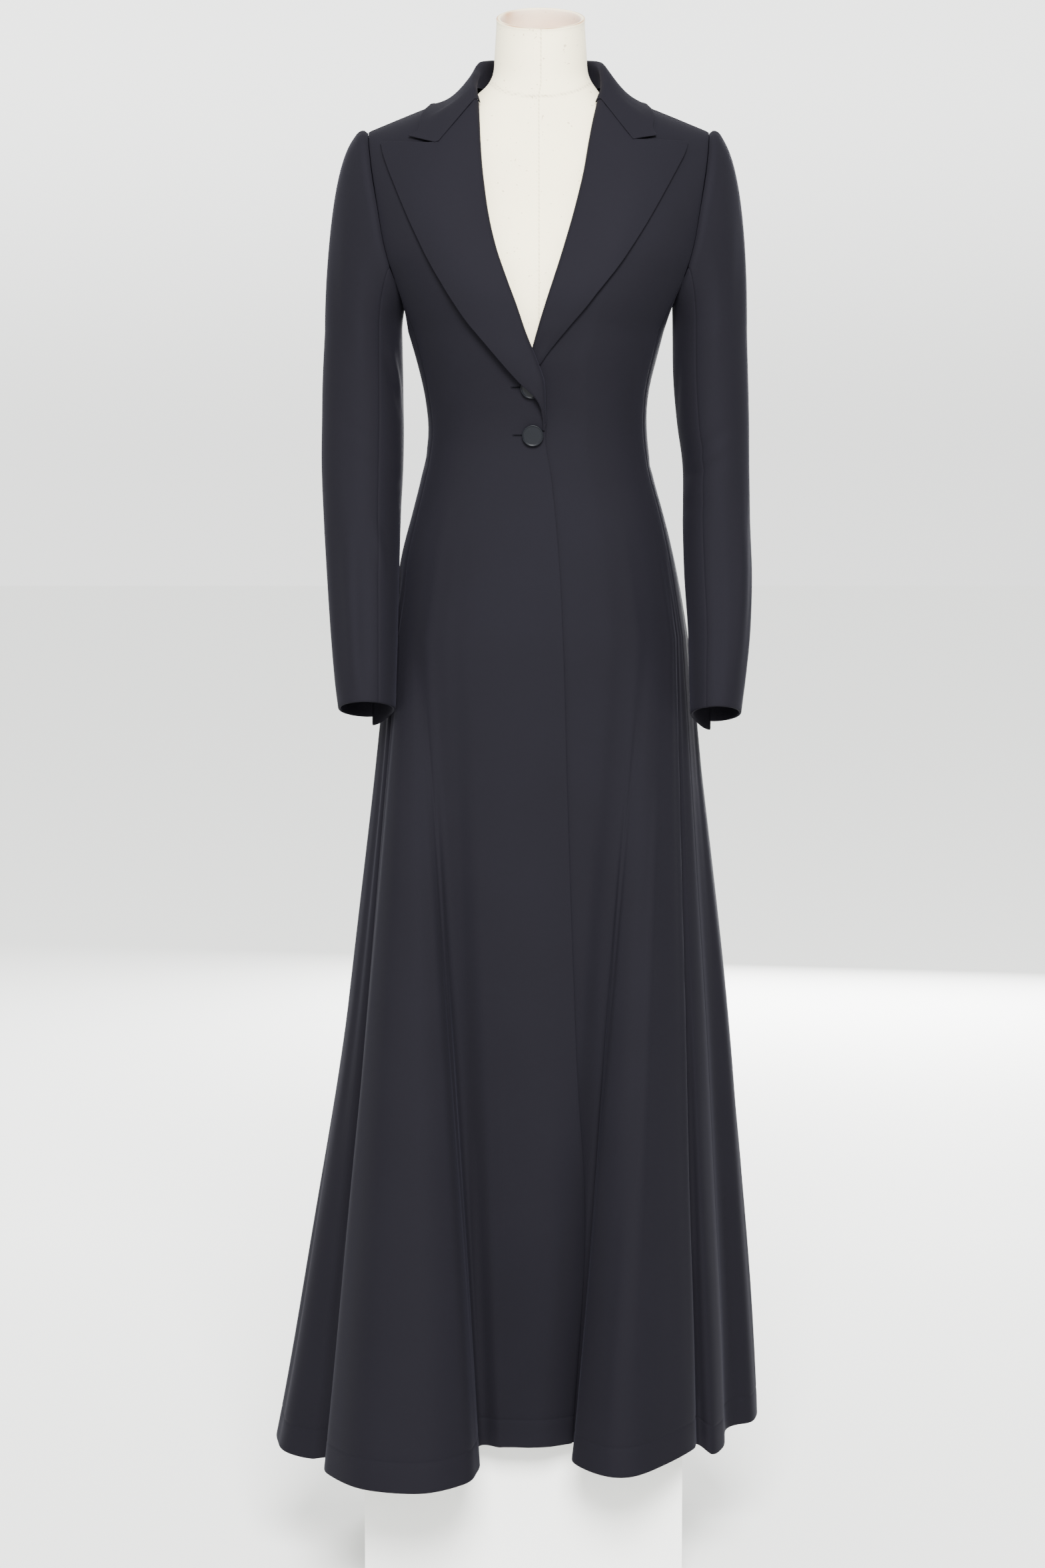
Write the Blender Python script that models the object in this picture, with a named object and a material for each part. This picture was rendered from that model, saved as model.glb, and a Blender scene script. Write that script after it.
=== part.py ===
import math
import bpy
import bmesh
import numpy as np
from mathutils import Vector
from mathutils.bvhtree import BVHTree

# Sizes in metres. The front faces -Y, the wearer's left is at +X.
cloth_wall = 0.002
lapel_wall = 0.0015
seam_gap = 0.00023
sleeve_gap = 0.0010
coat_shift = 0.017          # the coat hangs this far beside the middle of the stand
hip_height = 1.06
chest_height = 1.40
hem_height = 0.165
lap_depth = 0.0026          # the under front lies this far inside the lapping one
lap_depth_at_roll = 0.0066  # and this far where a lapel lies between them
lap_deepens = {"from": 1.24, "over": 0.08}                    # heights where the lap makes that room
lap_closes = {"from": 1.376, "over": 0.03, "share": 0.5}      # and where the fronts part above it
least_lap = 3.0             # degrees round the coat that the fronts lap at least
lap_clearance = 1.2         # degrees past the lapping edge where the under front is still deep
chest_fullness = 0.010      # the fronts swell this far between chest row and shoulder
blade_fullness = 0.012      # the backs swell this far over the shoulder blades
front_top_power = 1.6       # how near the shoulder its line starts to shape the front
back_top_power = 3.5
seam_line_step = 0.01       # height step that gives the direction of a row's normals

# Coat ring by height: right half width, left half width, front depth, back depth
ring_table = [
    (1.060, 0.1680, 0.1655, 0.134, 0.129),
    (1.108, 0.1600, 0.1580, 0.127, 0.121),
    (1.153, 0.1530, 0.1500, 0.120, 0.111),
    (1.198, 0.1420, 0.1400, 0.113, 0.099),
    (1.243, 0.1310, 0.1280, 0.108, 0.089),
    (1.287, 0.1240, 0.1220, 0.108, 0.084),
    (1.332, 0.1290, 0.1240, 0.118, 0.088),
    (1.376, 0.1390, 0.1340, 0.130, 0.094),
    (1.400, 0.1460, 0.1400, 0.134, 0.097),
]
ring_power = 2.25

# Skirt folds, from back over the wearer's right, front, left to back:
# angle at the hip, then x, y, z at the hem, and the bow of x half way down
fold_table = [
    (-174, -0.040, 0.262, 0.158, 0.000),
    (-165, -0.086, 0.228, 0.160, 0.000),
    (-155, -0.105, 0.178, 0.162, 0.000),
    (-147, -0.145, 0.196, 0.160, 0.000),
    (-137, -0.205, 0.190, 0.158, 0.004),
    (-127, -0.243, 0.132, 0.158, 0.006),
    (-115, -0.238, 0.058, 0.160, 0.008),
    (-104, -0.284, 0.012, 0.156, 0.012),
    (-92, -0.300, -0.052, 0.152, 0.012),
    (-82, -0.288, -0.112, 0.150, 0.011),
    (-73, -0.254, -0.142, 0.150, 0.006),
    (-67, -0.232, -0.160, 0.156, 0.002),
    (-62, -0.229, -0.228, 0.160, 0.000),
    (-58.5, -0.186, -0.290, 0.163, 0.000),
    (-55.5, -0.125, -0.306, 0.164, 0.000),
    (-52.5, -0.080, -0.284, 0.167, 0.000),
    (-49, -0.066, -0.250, 0.170, 0.000),
    (-42, -0.068, -0.198, 0.176, 0.000),
    (-24, -0.042, -0.190, 0.178, 0.000),
    (0, -0.012, -0.192, 0.178, 0.000),
    (22, 0.018, -0.188, 0.178, 0.000),
    (36, 0.042, -0.180, 0.176, 0.000),
    (43, 0.036, -0.222, 0.171, 0.000),
    (48, 0.064, -0.254, 0.168, 0.000),
    (54, 0.100, -0.262, 0.168, 0.000),
    (60, 0.140, -0.228, 0.172, 0.000),
    (65, 0.171, -0.182, 0.174, 0.000),
    (68, 0.177, -0.146, 0.168, 0.000),
    (71, 0.192, -0.150, 0.158, 0.000),
    (75, 0.2065, -0.122, 0.156, 0.002),
    (81, 0.214, -0.062, 0.158, 0.006),
    (90, 0.247, -0.028, 0.158, 0.009),
    (102, 0.250, 0.045, 0.157, 0.009),
    (114, 0.214, 0.084, 0.160, 0.005),
    (126, 0.218, 0.156, 0.158, 0.003),
    (137, 0.168, 0.210, 0.158, 0.000),
    (147, 0.112, 0.192, 0.161, 0.000),
    (157, 0.086, 0.212, 0.160, 0.000),
    (168, 0.046, 0.262, 0.158, 0.000),
    (178, -0.004, 0.246, 0.160, 0.000),
]

# Seam angles by height: right side-front, right side-back, left side-front, left side-back
seam_table = [
    (0.160, -66.0, -120.0, 79.0, 118.0),
    (0.700, -68.0, -122.0, 78.0, 120.0),
    (1.060, -70.0, -125.0, 76.0, 124.0),
    (1.290, -72.0, -127.0, 73.0, 127.0),
    (1.400, -71.0, -125.0, 71.0, 125.0),
]

# Front edges by height: x of the lapping right front, x of the left front under it
edge_table = [
    (0.150, 0.036, -0.040),
    (0.452, 0.050, -0.036),
    (0.559, 0.043, -0.035),
    (0.728, 0.036, -0.034),
    (0.912, 0.030, -0.033),
    (1.052, 0.026, -0.032),
    (1.152, 0.021, -0.031),
    (1.240, 0.0125, -0.030),
    (1.284, 0.006, -0.030),
    (1.303, 0.0075, -0.030),
    (1.322, 0.0045, -0.028),
    (1.346, 0.0020, -0.018),
    (1.378, -0.0095, -0.0065),
    (1.400, -0.0190, 0.0005),
]

# Armhole seam: turn round the arm (0 top, 90 front, 180 under, 270 back), x, y, z
armhole_table = [
    (0, 0.1900, 0.003, 1.621),
    (22, 0.1885, -0.024, 1.609),
    (45, 0.1845, -0.049, 1.577),
    (70, 0.1785, -0.064, 1.540),
    (95, 0.1715, -0.069, 1.497),
    (120, 0.1630, -0.066, 1.465),
    (145, 0.1545, -0.049, 1.444),
    (180, 0.1500, -0.004, 1.434),
    (215, 0.1535, 0.043, 1.444),
    (240, 0.1625, 0.067, 1.470),
    (265, 0.1720, 0.077, 1.505),
    (290, 0.1800, 0.076, 1.545),
    (315, 0.1860, 0.060, 1.583),
    (338, 0.1893, 0.033, 1.611),
    (360, 0.1900, 0.003, 1.621),
]
front_seam_turn = 128.0
back_seam_turn = 232.0
front_armhole_turns = (front_seam_turn, 112, 95, 78, 60, 45, 30, 15, 0)
back_armhole_turns = (back_seam_turn, 248, 265, 282, 300, 315, 330, 345, 360)
shoulder_neck = (0.076, 0.005, 1.666)
nape = (0.0, 0.066, 1.668)
shoulder_bow = (0, 0.002, 0.001)    # how far the shoulder seam bows half way along

# Roll line of each lapel above the chest row: x, y, z
roll_right = [(-0.0320, -0.135, 1.436), (-0.0475, -0.126, 1.479), (-0.0580, -0.112, 1.523),
              (-0.0640, -0.093, 1.567), (-0.0675, -0.070, 1.612), (-0.0695, -0.042, 1.650)]
roll_left = [(0.0130, -0.135, 1.436), (0.0270, -0.126, 1.479), (0.0400, -0.112, 1.523),
             (0.0510, -0.093, 1.567), (0.0590, -0.070, 1.612), (0.0675, -0.042, 1.650)]
centre_back = [(0.103, 1.450), (0.104, 1.500), (0.098, 1.560), (0.084, 1.620)]

def smooth(table, at):
    # Smooth values between the rows of a table, by its first column
    rows = np.asarray(table, float)
    x, y = rows[:, 0], rows[:, 1:]
    k = int(np.clip(np.searchsorted(x, at) - 1, 0, len(x) - 2))
    step = np.diff(x)[:, None]
    secant = np.diff(y, axis=0) / step
    slope = np.vstack([secant[:1], (secant[1:] * step[:-1] + secant[:-1] * step[1:]) / (step[1:] + step[:-1]),
                       secant[-1:]])
    h = step[k]
    u = float(np.clip((at - x[k]) / h[0], 0, 1))
    return ((2 * u ** 3 - 3 * u ** 2 + 1) * y[k] + (u ** 3 - 2 * u ** 2 + u) * h * slope[k]
            + (3 * u ** 2 - 2 * u ** 3) * y[k + 1] + (u ** 3 - u ** 2) * h * slope[k + 1])

def along(points, count):
    # Points at even lengths along a smooth line through the given ones
    points = np.asarray(points, float)
    length = np.concatenate([[0], np.cumsum(np.linalg.norm(np.diff(points, axis=0), axis=1))])
    table = np.column_stack([length, points])
    return np.array([smooth(table, at) for at in np.linspace(0, length[-1], count)])

def ease(value):
    value = min(max(value, 0.0), 1.0)
    return value * value * (3 - 2 * value)

wrapped_folds = ([(row[0] - 360, *row[1:]) for row in fold_table[-3:]] + fold_table
                 + [(row[0] + 360, *row[1:]) for row in fold_table[:3]])

def ring_point(angle, height):
    right, left, front, back = smooth(ring_table, height)
    turn = math.radians(angle)
    across = math.copysign(abs(math.sin(turn)) ** (2 / ring_power), math.sin(turn))
    ahead = math.copysign(abs(math.cos(turn)) ** (2 / ring_power), math.cos(turn))
    width, depth = (left if across > 0 else right), (front if ahead > 0 else back)
    return np.array([across * width, -ahead * depth, height])

def coat_point(angle, height):
    # Outer face of the body cloth: a ring above the hip, straight runs to the folds below
    if height >= hip_height:
        return ring_point(angle, height)
    drop = (hip_height - height) / (hip_height - hem_height)
    x, y, z, bow = smooth(wrapped_folds, angle)
    top = ring_point(angle, hip_height)
    point = top + (np.array([x, y, z]) - top) * drop
    point[0] += 4 * drop * (1 - drop) * bow
    return point

def edge_angle(height, column):
    target = smooth(edge_table, height)[column]
    low, high = -40.0, 36.0
    for _ in range(24):
        middle = (low + high) / 2
        low, high = (middle, high) if coat_point(middle, height)[0] < target else (low, middle)
    return low

def armhole_point(side, turn):
    x, y, z = smooth(armhole_table, turn)
    return np.array([side * x, y, z])

def spread(first, last, count, height):
    # Column fractions so that the folds at the hem get the closer columns
    angles = np.linspace(first, last, 160)
    hem = np.array([coat_point(angle, height) for angle in angles])
    hip = np.array([ring_point(angle, hip_height) for angle in angles])
    step = np.linalg.norm(np.diff(hem, axis=0), axis=1) + 1.2 * np.linalg.norm(np.diff(hip, axis=0), axis=1)
    length = np.concatenate([[0], np.cumsum(step)])
    return np.interp(np.linspace(0, length[-1], count + 1), length, np.linspace(0, 1, 160))

skirt_heights = [hem_height + (hip_height - hem_height) * part
                 for part in (0, 0.03, 0.2, 0.4, 0.6, 0.78, 0.9, 1)]
bodice_heights = [1.108, 1.153, 1.198, 1.243, 1.287, 1.32, 1.346, 1.372, chest_height]
body_heights = skirt_heights + bodice_heights
upper_rows = 8
seam_rows = 2   # of the upper rows, those below the armhole

def patch_between(left, right, bottom, top, top_power):
    # Patch between four lines; its rows run from the bottom line to the top one.
    # The top line shapes the rows near it, the more so the higher the power.
    rows, columns = len(left), len(bottom)
    patch = np.zeros((rows, columns, 3))
    for j in range(columns):
        s = span_of(bottom, j)
        low = bottom[j] - ((1 - s) * bottom[0] + s * bottom[-1])
        high = top[j] - ((1 - s) * top[0] + s * top[-1])
        for i in range(rows):
            v = i / (rows - 1)
            patch[i, j] = (1 - s) * left[i] + s * right[i] + (1 - v) * low + v ** top_power * high
    return patch

def span_of(line, j):
    length = np.concatenate([[0], np.cumsum(np.linalg.norm(np.diff(line, axis=0), axis=1))])
    return length[j] / length[-1]

def along_at(points, parts):
    # Points at the given parts of the length of a line of straight runs
    points = np.asarray(points, float)
    length = np.concatenate([[0], np.cumsum(np.linalg.norm(np.diff(points, axis=0), axis=1))])
    at = np.asarray(parts) * length[-1]
    return np.column_stack([np.interp(at, length, points[:, k]) for k in range(3)])

def trim(grid, sides, gap=seam_gap):
    # Draws an edge of a grid back by the seam gap
    for side in sides:
        if side == "first":
            step = grid[:, 1] - grid[:, 0]
            grid[:, 0] += gap * step / np.linalg.norm(step, axis=1)[:, None]
        elif side == "last":
            step = grid[:, -2] - grid[:, -1]
            grid[:, -1] += gap * step / np.linalg.norm(step, axis=1)[:, None]
        elif side == "top":
            step = grid[-2] - grid[-1]
            grid[-1] += gap * step / np.linalg.norm(step, axis=1)[:, None]
        elif side == "bottom":
            step = grid[1] - grid[0]
            grid[0] += gap * step / np.linalg.norm(step, axis=1)[:, None]
    return grid

def normals(grid):
    along_rows = np.gradient(grid, axis=0)
    across = np.gradient(grid, axis=1)
    normal = np.cross(across, along_rows)
    return normal / np.linalg.norm(normal, axis=2)[:, :, None]

def armhole_line(side, turns, count):
    return along([armhole_point(side, turn) for turn in turns], count)

def front_grid(side):
    inner_count, main_count = 3, 9
    rows = []
    seam_column = 0 if side < 0 else 2
    hem_seam = smooth(seam_table, hem_height)[seam_column]
    parts = spread(hem_seam, edge_angle(hem_height, 0 if side > 0 else 1), main_count, hem_height)
    for height in body_heights:
        lap_edge, under_edge = edge_angle(height, 0), edge_angle(height, 1)
        seam = smooth(seam_table, height)[seam_column]
        if side < 0:
            start = min(under_edge, lap_edge - least_lap)
            angles = (list(seam + (start - seam) * parts)
                      + list(np.linspace(start, lap_edge, inner_count + 1)[1:]))
            rows.append([coat_point(angle, height) for angle in angles])
        else:
            start = max(lap_edge, under_edge + least_lap) + lap_clearance
            angles = (list(np.linspace(under_edge, start - lap_clearance, inner_count + 1))
                      + list(start + (seam - start) * (1 - parts[::-1])))
            points = np.array([coat_point(angle, height) for angle in angles])
            out = normals(np.array([points, points + (0, 0, seam_line_step)]))[0]
            deepened = ease((height - lap_deepens["from"]) / lap_deepens["over"])
            depth = lap_depth + (lap_depth_at_roll - lap_depth) * deepened
            depth *= 1 - lap_closes["share"] * ease((height - lap_closes["from"]) / lap_closes["over"])
            for j, angle in enumerate(angles):
                points[j] -= out[j] * depth * (1 - ease((j - inner_count - 1) / 2))
            rows.append(list(points))
    bottom = np.array(rows[-1])
    seam_point = bottom[0] if side < 0 else bottom[-1]
    roll_point = bottom[-1] if side < 0 else bottom[0]
    outer = np.vstack([along([seam_point, armhole_point(side, front_seam_turn)], seam_rows + 1),
                       armhole_line(side, front_armhole_turns, upper_rows - seam_rows + 1)[1:]])
    neck = np.array([side * shoulder_neck[0], *shoulder_neck[1:]])
    inner = along([roll_point, *(roll_right if side < 0 else roll_left), neck], upper_rows + 1)
    steps = np.array([span_of(bottom, j) for j in range(len(bottom))])
    tip = armhole_point(side, 0)
    line = [tip, (tip + neck) / 2 + shoulder_bow, neck]
    top = along_at(line if side < 0 else line[::-1], steps)
    left, right = (outer, inner) if side < 0 else (inner, outer)
    patch = patch_between(left, right, bottom, top, front_top_power)
    for i in range(len(patch)):
        v = i / (len(patch) - 1)
        for j, s in enumerate(steps):
            patch[i, j, 1] -= chest_fullness * math.sin(math.pi * v) * math.sin(math.pi * s)
    grid = np.array(rows + list(patch[1:]))
    return trim(grid, ["first", "top"] if side < 0 else ["last", "top"])

def side_grid(side):
    count = 8
    first, last = (1, 0) if side < 0 else (2, 3)
    hem = smooth(seam_table, hem_height)
    parts = spread(hem[first], hem[last], count, hem_height)
    rows = []
    for height in body_heights:
        seams = smooth(seam_table, height)
        rows.append([coat_point(seams[first] + (seams[last] - seams[first]) * part, height)
                     for part in parts])
    turns = np.linspace(front_seam_turn, back_seam_turn, 9)
    arm = armhole_line(side, turns if side > 0 else turns[::-1], 40)
    top = along_at(arm, [span_of(np.array(rows[-1]), j) for j in range(count + 1)])
    middle = (np.array(rows[-1]) + top) / 2
    return trim(np.array(rows + [list(middle), list(top)]), ["first", "last"])

def back_grid(side):
    count, neck_count = 10, 4
    rows = []
    column = 1 if side < 0 else 3
    start = side * 180.0
    parts = spread(start, smooth(seam_table, hem_height)[column], count, hem_height)
    for height in body_heights:
        seam = smooth(seam_table, height)[column]
        rows.append([coat_point(start + (seam - start) * part, height) for part in parts])
    bottom = np.array(rows[-1])
    inner = along([bottom[0], *[(0.0, y, z) for y, z in centre_back], nape], upper_rows + 1)
    outer = np.vstack([along([bottom[-1], armhole_point(side, back_seam_turn)], seam_rows + 1),
                       armhole_line(side, back_armhole_turns, upper_rows - seam_rows + 1)[1:]])
    neck = np.array([side * shoulder_neck[0], *shoulder_neck[1:]])
    tip = armhole_point(side, 0)
    turn = np.linspace(0, math.pi / 2, neck_count + 1)
    neckline = np.column_stack([neck[0] * np.sin(turn), neck[1] + (nape[1] - neck[1]) * np.cos(turn),
                                nape[2] + (neck[2] - nape[2]) * np.sin(turn)])
    shoulder = along([neck, (tip + neck) / 2 + shoulder_bow, tip], count - neck_count + 1)
    top = np.vstack([neckline, shoulder[1:]])
    patch = patch_between(inner, outer, bottom, top, back_top_power)
    for i in range(len(patch)):
        v = i / (len(patch) - 1)
        for j in range(count + 1):
            patch[i, j, 1] += blade_fullness * math.sin(math.pi * v) * math.sin(math.pi * span_of(bottom, j))
    grid = np.array(rows + list(patch[1:]))
    if side > 0:
        grid = grid[:, ::-1]
    return trim(grid, ["first", "last", "top"])

def shell(name, grid, material, facing=None, wall=cloth_wall):
    # A cloth solid: the outer face, the inner face one wall in, and the cut edges
    rows, columns = grid.shape[:2]
    inner = grid - (normals(grid) if facing is None else facing) * wall
    verts = [tuple(p) for p in grid.reshape(-1, 3)] + [tuple(p) for p in inner.reshape(-1, 3)]
    base = rows * columns
    faces = []
    for i in range(rows - 1):
        for j in range(columns - 1):
            a, b = i * columns + j, i * columns + j + 1
            c, d = b + columns, a + columns
            faces.append((a, b, c, d))
            faces.append((base + d, base + c, base + b, base + a))
    loop = ([j for j in range(columns)] + [i * columns + columns - 1 for i in range(1, rows)]
            + [(rows - 1) * columns + j for j in range(columns - 2, -1, -1)]
            + [i * columns for i in range(rows - 2, 0, -1)])
    for k, a in enumerate(loop):
        b = loop[(k + 1) % len(loop)]
        faces.append((b, a, base + a, base + b))
    return add_solid(name, verts, faces, material)

def add_solid(name, verts, faces, material):
    mesh = bpy.data.meshes.new(name)
    shift = coat_shift if name != "stand_base" else 0
    mesh.from_pydata([(x + shift, y, z) for x, y, z in verts], [], faces)
    work = bmesh.new()
    work.from_mesh(mesh)
    bmesh.ops.triangulate(work, faces=[face for face in work.faces if len(face.verts) == 4])
    bmesh.ops.recalc_face_normals(work, faces=work.faces)
    work.to_mesh(mesh)
    work.free()
    mesh.validate()
    mesh.materials.append(material)
    solid = bpy.data.objects.new(name, mesh)
    bpy.context.collection.objects.link(solid)
    return solid

def material(name, colour, roughness):
    made = bpy.data.materials.new(name)
    made.use_nodes = True
    shader = made.node_tree.nodes["Principled BSDF"]
    shader.inputs["Base Color"].default_value = (*colour, 1)
    shader.inputs["Roughness"].default_value = roughness
    return made

def surface_of(grid):
    rows, columns = grid.shape[:2]
    verts = [Vector(p) for p in grid.reshape(-1, 3)]
    quads = [(i * columns + j, i * columns + j + 1, (i + 1) * columns + j + 1, (i + 1) * columns + j)
             for i in range(rows - 1) for j in range(columns - 1)]
    return BVHTree.FromPolygons(verts, quads)

def on_front(surface, x, z):
    hit, normal, _, _ = surface.ray_cast(Vector((x, -1.0, z)), Vector((0, 1, 0)))
    if hit is None:
        hit, normal, _, _ = surface.find_nearest(Vector((x, -0.08, z)))
    normal = np.array(normal)
    return np.array(hit), normal if normal[1] < 0 or normal[2] > 0 else -normal

# Lapels: z of the roll line, then x and z of the outer edge, how far that edge stands off
# the front, and how high the roll rises
lapel_right_table = [
    (1.298, 0.0000, 1.299, 0.0048, 0.0048),
    (1.310, -0.0015, 1.312, 0.0075, 0.0075),
    (1.320, -0.0050, 1.3235, 0.0102, 0.0095),
    (1.332, -0.0100, 1.3335, 0.0106, 0.0102),
    (1.344, -0.0225, 1.344, 0.0110, 0.0100),
    (1.362, -0.0330, 1.356, 0.0112, 0.0075),
    (1.393, -0.0583, 1.391, 0.0112, 0.0058),
    (1.424, -0.0850, 1.431, 0.0092, 0.0048),
    (1.455, -0.1117, 1.464, 0.0070, 0.0046),
    (1.486, -0.1286, 1.494, 0.0054, 0.0046),
    (1.523, -0.1455, 1.5315, 0.0046, 0.0046),
    (1.568, -0.1628, 1.5725, 0.0042, 0.0046),
    (1.600, -0.1690, 1.589, 0.0043, 0.0050),
    (1.626, -0.1706, 1.597, 0.0043, 0.0052),
    (1.648, -0.1724, 1.6030, 0.0043, 0.0050),
]
lapel_left_table = [
    (1.364, 0.0015, 1.3590, 0.0028, 0.0027),
    (1.376, 0.0100, 1.378, 0.0036, 0.0028),
    (1.394, 0.0353, 1.414, 0.0052, 0.0042),
    (1.414, 0.0510, 1.434, 0.0064, 0.0044),
    (1.440, 0.0674, 1.452, 0.0066, 0.0046),
    (1.470, 0.0990, 1.4877, 0.0054, 0.0046),
    (1.500, 0.1145, 1.509, 0.0046, 0.0046),
    (1.530, 0.1295, 1.533, 0.0042, 0.0046),
    (1.568, 0.1451, 1.5626, 0.0042, 0.0046),
    (1.600, 0.1560, 1.585, 0.0043, 0.0050),
    (1.626, 0.1595, 1.5945, 0.0043, 0.0052),
    (1.648, 0.1618, 1.6030, 0.0043, 0.0050),
]
notch = {-1: (-0.1096, 1.598), 1: (0.1012, 1.602)}
lapel_wrap = [(-0.0034, -0.0018), (-0.0029, 0.45), (-0.0003, 0.88)]

lapel_parts = (0, 0.15, 0.3, 0.45, 0.6, 0.73, 0.87, 1.0)   # across a lapel; the notch is on one of them
notch_part = 0.6
notch_drops = {-3: 0.019, -2: 0.010, -1: 0.0}   # the last rows turn down to the notch, this far below it
lapel_form = {"reach": 0.0035, "narrow": 0.03, "edge_shift": 0.001, "bow": 0.0010, "fall_power": 1.2}

def lapel_grid(side, panel, table):
    surface = surface_of(panel)
    edge = panel[:, -1] if side < 0 else panel[:, 0]
    grid = []
    for k, (roll_z, outer_x, outer_z, lift, rise) in enumerate(table):
        roll = np.array([np.interp(roll_z, edge[:, 2], edge[:, axis]) for axis in range(3)])
        shift = lapel_form["edge_shift"]
        base, normal = on_front(surface, roll[0] + side * shift, roll_z)
        outer, _ = on_front(surface, outer_x, outer_z)
        away = outer - base
        away -= normal * away.dot(normal)
        away /= np.linalg.norm(away)
        width = np.linalg.norm(outer - base)
        reach = min(lapel_form["reach"], width / 4)
        row = [base + away * (lapel_wrap[0][0] - shift) + normal * lapel_wrap[0][1]]
        row += [base + away * (out - shift) + normal * rise * share_up for out, share_up in lapel_wrap[1:]]
        row.append(base + away * reach + normal * rise)
        notch_x, notch_z = notch[side]
        notch_z -= notch_drops.get(k - len(table), 0)
        for part in lapel_parts[1:]:
            if width < lapel_form["narrow"]:
                part = reach / width + (1 - reach / width) * part
            x, z = roll[0] + (outer_x - roll[0]) * part, roll_z + (outer_z - roll_z) * part
            if k - len(table) in notch_drops:
                before, past = min(part / notch_part, 1), max(part - notch_part, 0) / (1 - notch_part)
                x = roll[0] + (notch_x - roll[0]) * before + (outer_x - notch_x) * past
                z = roll_z + (notch_z - roll_z) * before + (outer_z - notch_z) * past
            point, normal_here = on_front(surface, x, z)
            height = (rise + (lift - rise) * part ** lapel_form["fall_power"]
                      + lapel_form["bow"] * math.sin(math.pi * part))
            row.append(point + normal_here * height)
        grid.append(row)
    grid = np.array(grid)
    return grid if side > 0 else grid[:, ::-1]

# Collar stations from the nape round to the gorge: stand foot, roll, outer edge of the fall (x, y, z each)
collar_table = [
    (0.00, 0.000, 0.066, 1.671, 0.000, 0.072, 1.706, 0.000, 0.095, 1.644),
    (1.00, 0.038, 0.056, 1.671, 0.042, 0.061, 1.705, 0.060, 0.086, 1.645),
    (2.00, 0.062, 0.032, 1.671, 0.064, 0.034, 1.701, 0.099, 0.054, 1.650),
    (3.00, 0.0695, 0.002, 1.669, 0.0712, 0.000, 1.692, 0.1200, 0.004, 1.652),
    (4.00, 0.0705, -0.022, 1.662, 0.0722, -0.024, 1.676, 0.1330, -0.042, 1.638),
    (5.00, 0.0690, -0.042, 1.652, 0.0700, -0.044, 1.655, 0.1380, -0.086, 1.612),
]
collar_tips = {-1: (-0.1411, 1.6085), 1: (0.1268, 1.6085)}
collar_form = {
    "stations": 10,                        # from the nape to each gorge
    "lift": 0.0042,                        # the fall's edge above the cloth under it
    "tip_lift": 0.0042,
    "gorge_gap": 0.0008,
    "lip": 0.0034, "tight_lip": 0.0022,    # half width of the roll at the back and by the gorge
    "lip_drop": 0.0022, "fall_drop": 0.0030,
    "stand_bow": 0.0008, "stand_sink": 0.001,
    "swell": 0.0026, "sag": 0.0095,        # the fall swells at the back and sags onto the shoulders
    "left_edge_in": 0.010,
    "right_roll_down": 0.007,              # the right half rolls lower beside the neck
}
fall_parts = (0.3, 0.55, 0.8, 1.0)

def laid_on(surfaces, point, lift):
    # The point over the nearest cloth, as far off it as the lift
    near = min((surface.find_nearest(Vector(point)) for surface in surfaces), key=lambda hit: hit[3])[0]
    away = np.array(point) - np.array(near)
    return np.array(near) + away / np.linalg.norm(away) * lift

def collar_grid(fronts, backs, lapels):
    surfaces = {side: surface_of(fronts[side]) for side in (-1, 1)}
    under = {side: [surface_of(fronts[side]), surface_of(backs[side])] for side in (-1, 1)}
    stations = []
    for side in (-1, 1):
        half = []
        count = collar_form["stations"]
        for k in range(count + 1):
            at = collar_table[-1][0] * k / count
            row = smooth(collar_table, at)
            row[6] -= collar_form["left_edge_in"] * ease((at - 3) / 2) * (side > 0)
            if side < 0:
                row[5] -= collar_form["right_roll_down"] * ease(at - 1.8) * (1 - ease((at - 3.4) / 1.6))
            foot, roll, edge = (row[n:n + 3] * (side, 1, 1) for n in (0, 3, 6))
            edge = laid_on(under[side], edge, collar_form["lift"])
            out = edge - roll
            out[2] = 0
            out /= np.linalg.norm(out)
            tight = ease((at - 3.2) / 1.8)
            lip = collar_form["lip"] * (1 - tight) + collar_form["tight_lip"] * tight
            middle = (foot + roll) / 2 - out * collar_form["stand_bow"] - (0, 0, collar_form["stand_sink"])
            points = [foot, middle, roll - out * lip - (0, 0, collar_form["lip_drop"]), roll,
                      roll + out * lip * 1.2 - (0, 0, collar_form["fall_drop"])]
            first = points[-1]
            if k < count:
                sagging = ease((at - 0.8) / 1.2) * (1 - ease(at - 4.0))
                swell = (collar_form["swell"] - collar_form["sag"] * sagging) * (1 - 0.6 * tight)
                for part in fall_parts:
                    point = first + (edge - first) * part
                    point += (out * (swell > 0) + (0, 0, 1)) * swell * math.sin(math.pi * part)
                    points.append(point)
            else:
                # The gorge: the lapel's top line moved off by the gap, then the free front edge
                order = slice(None) if side > 0 else slice(None, None, -1)
                seam, out_of = lapels[side][-1, order], normals(lapels[side])[-1, order]
                tangent = np.vstack([seam[1:2] - seam[:1], np.diff(seam, axis=0)])
                rise = np.cross(out_of, tangent) * side
                rise /= np.linalg.norm(rise, axis=1)[:, None]
                corner = 3 + lapel_parts.index(notch_part)
                seam = seam + rise * collar_form["gorge_gap"]
                tip, normal = on_front(surfaces[side], *collar_tips[side])
                tip = tip + normal * collar_form["tip_lift"]
                points = [seam[0], (seam[0] + seam[1]) / 2, seam[1], seam[2], seam[3],
                          seam[(corner + 3) // 2], seam[corner], (seam[corner] + tip) / 2, tip]
            half.append(points)
        stations = half[::-1] + stations[1:] if side < 0 else stations + half[1:]
        if side < 0:
            stations = half[::-1]
    return np.array(stations)

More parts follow.
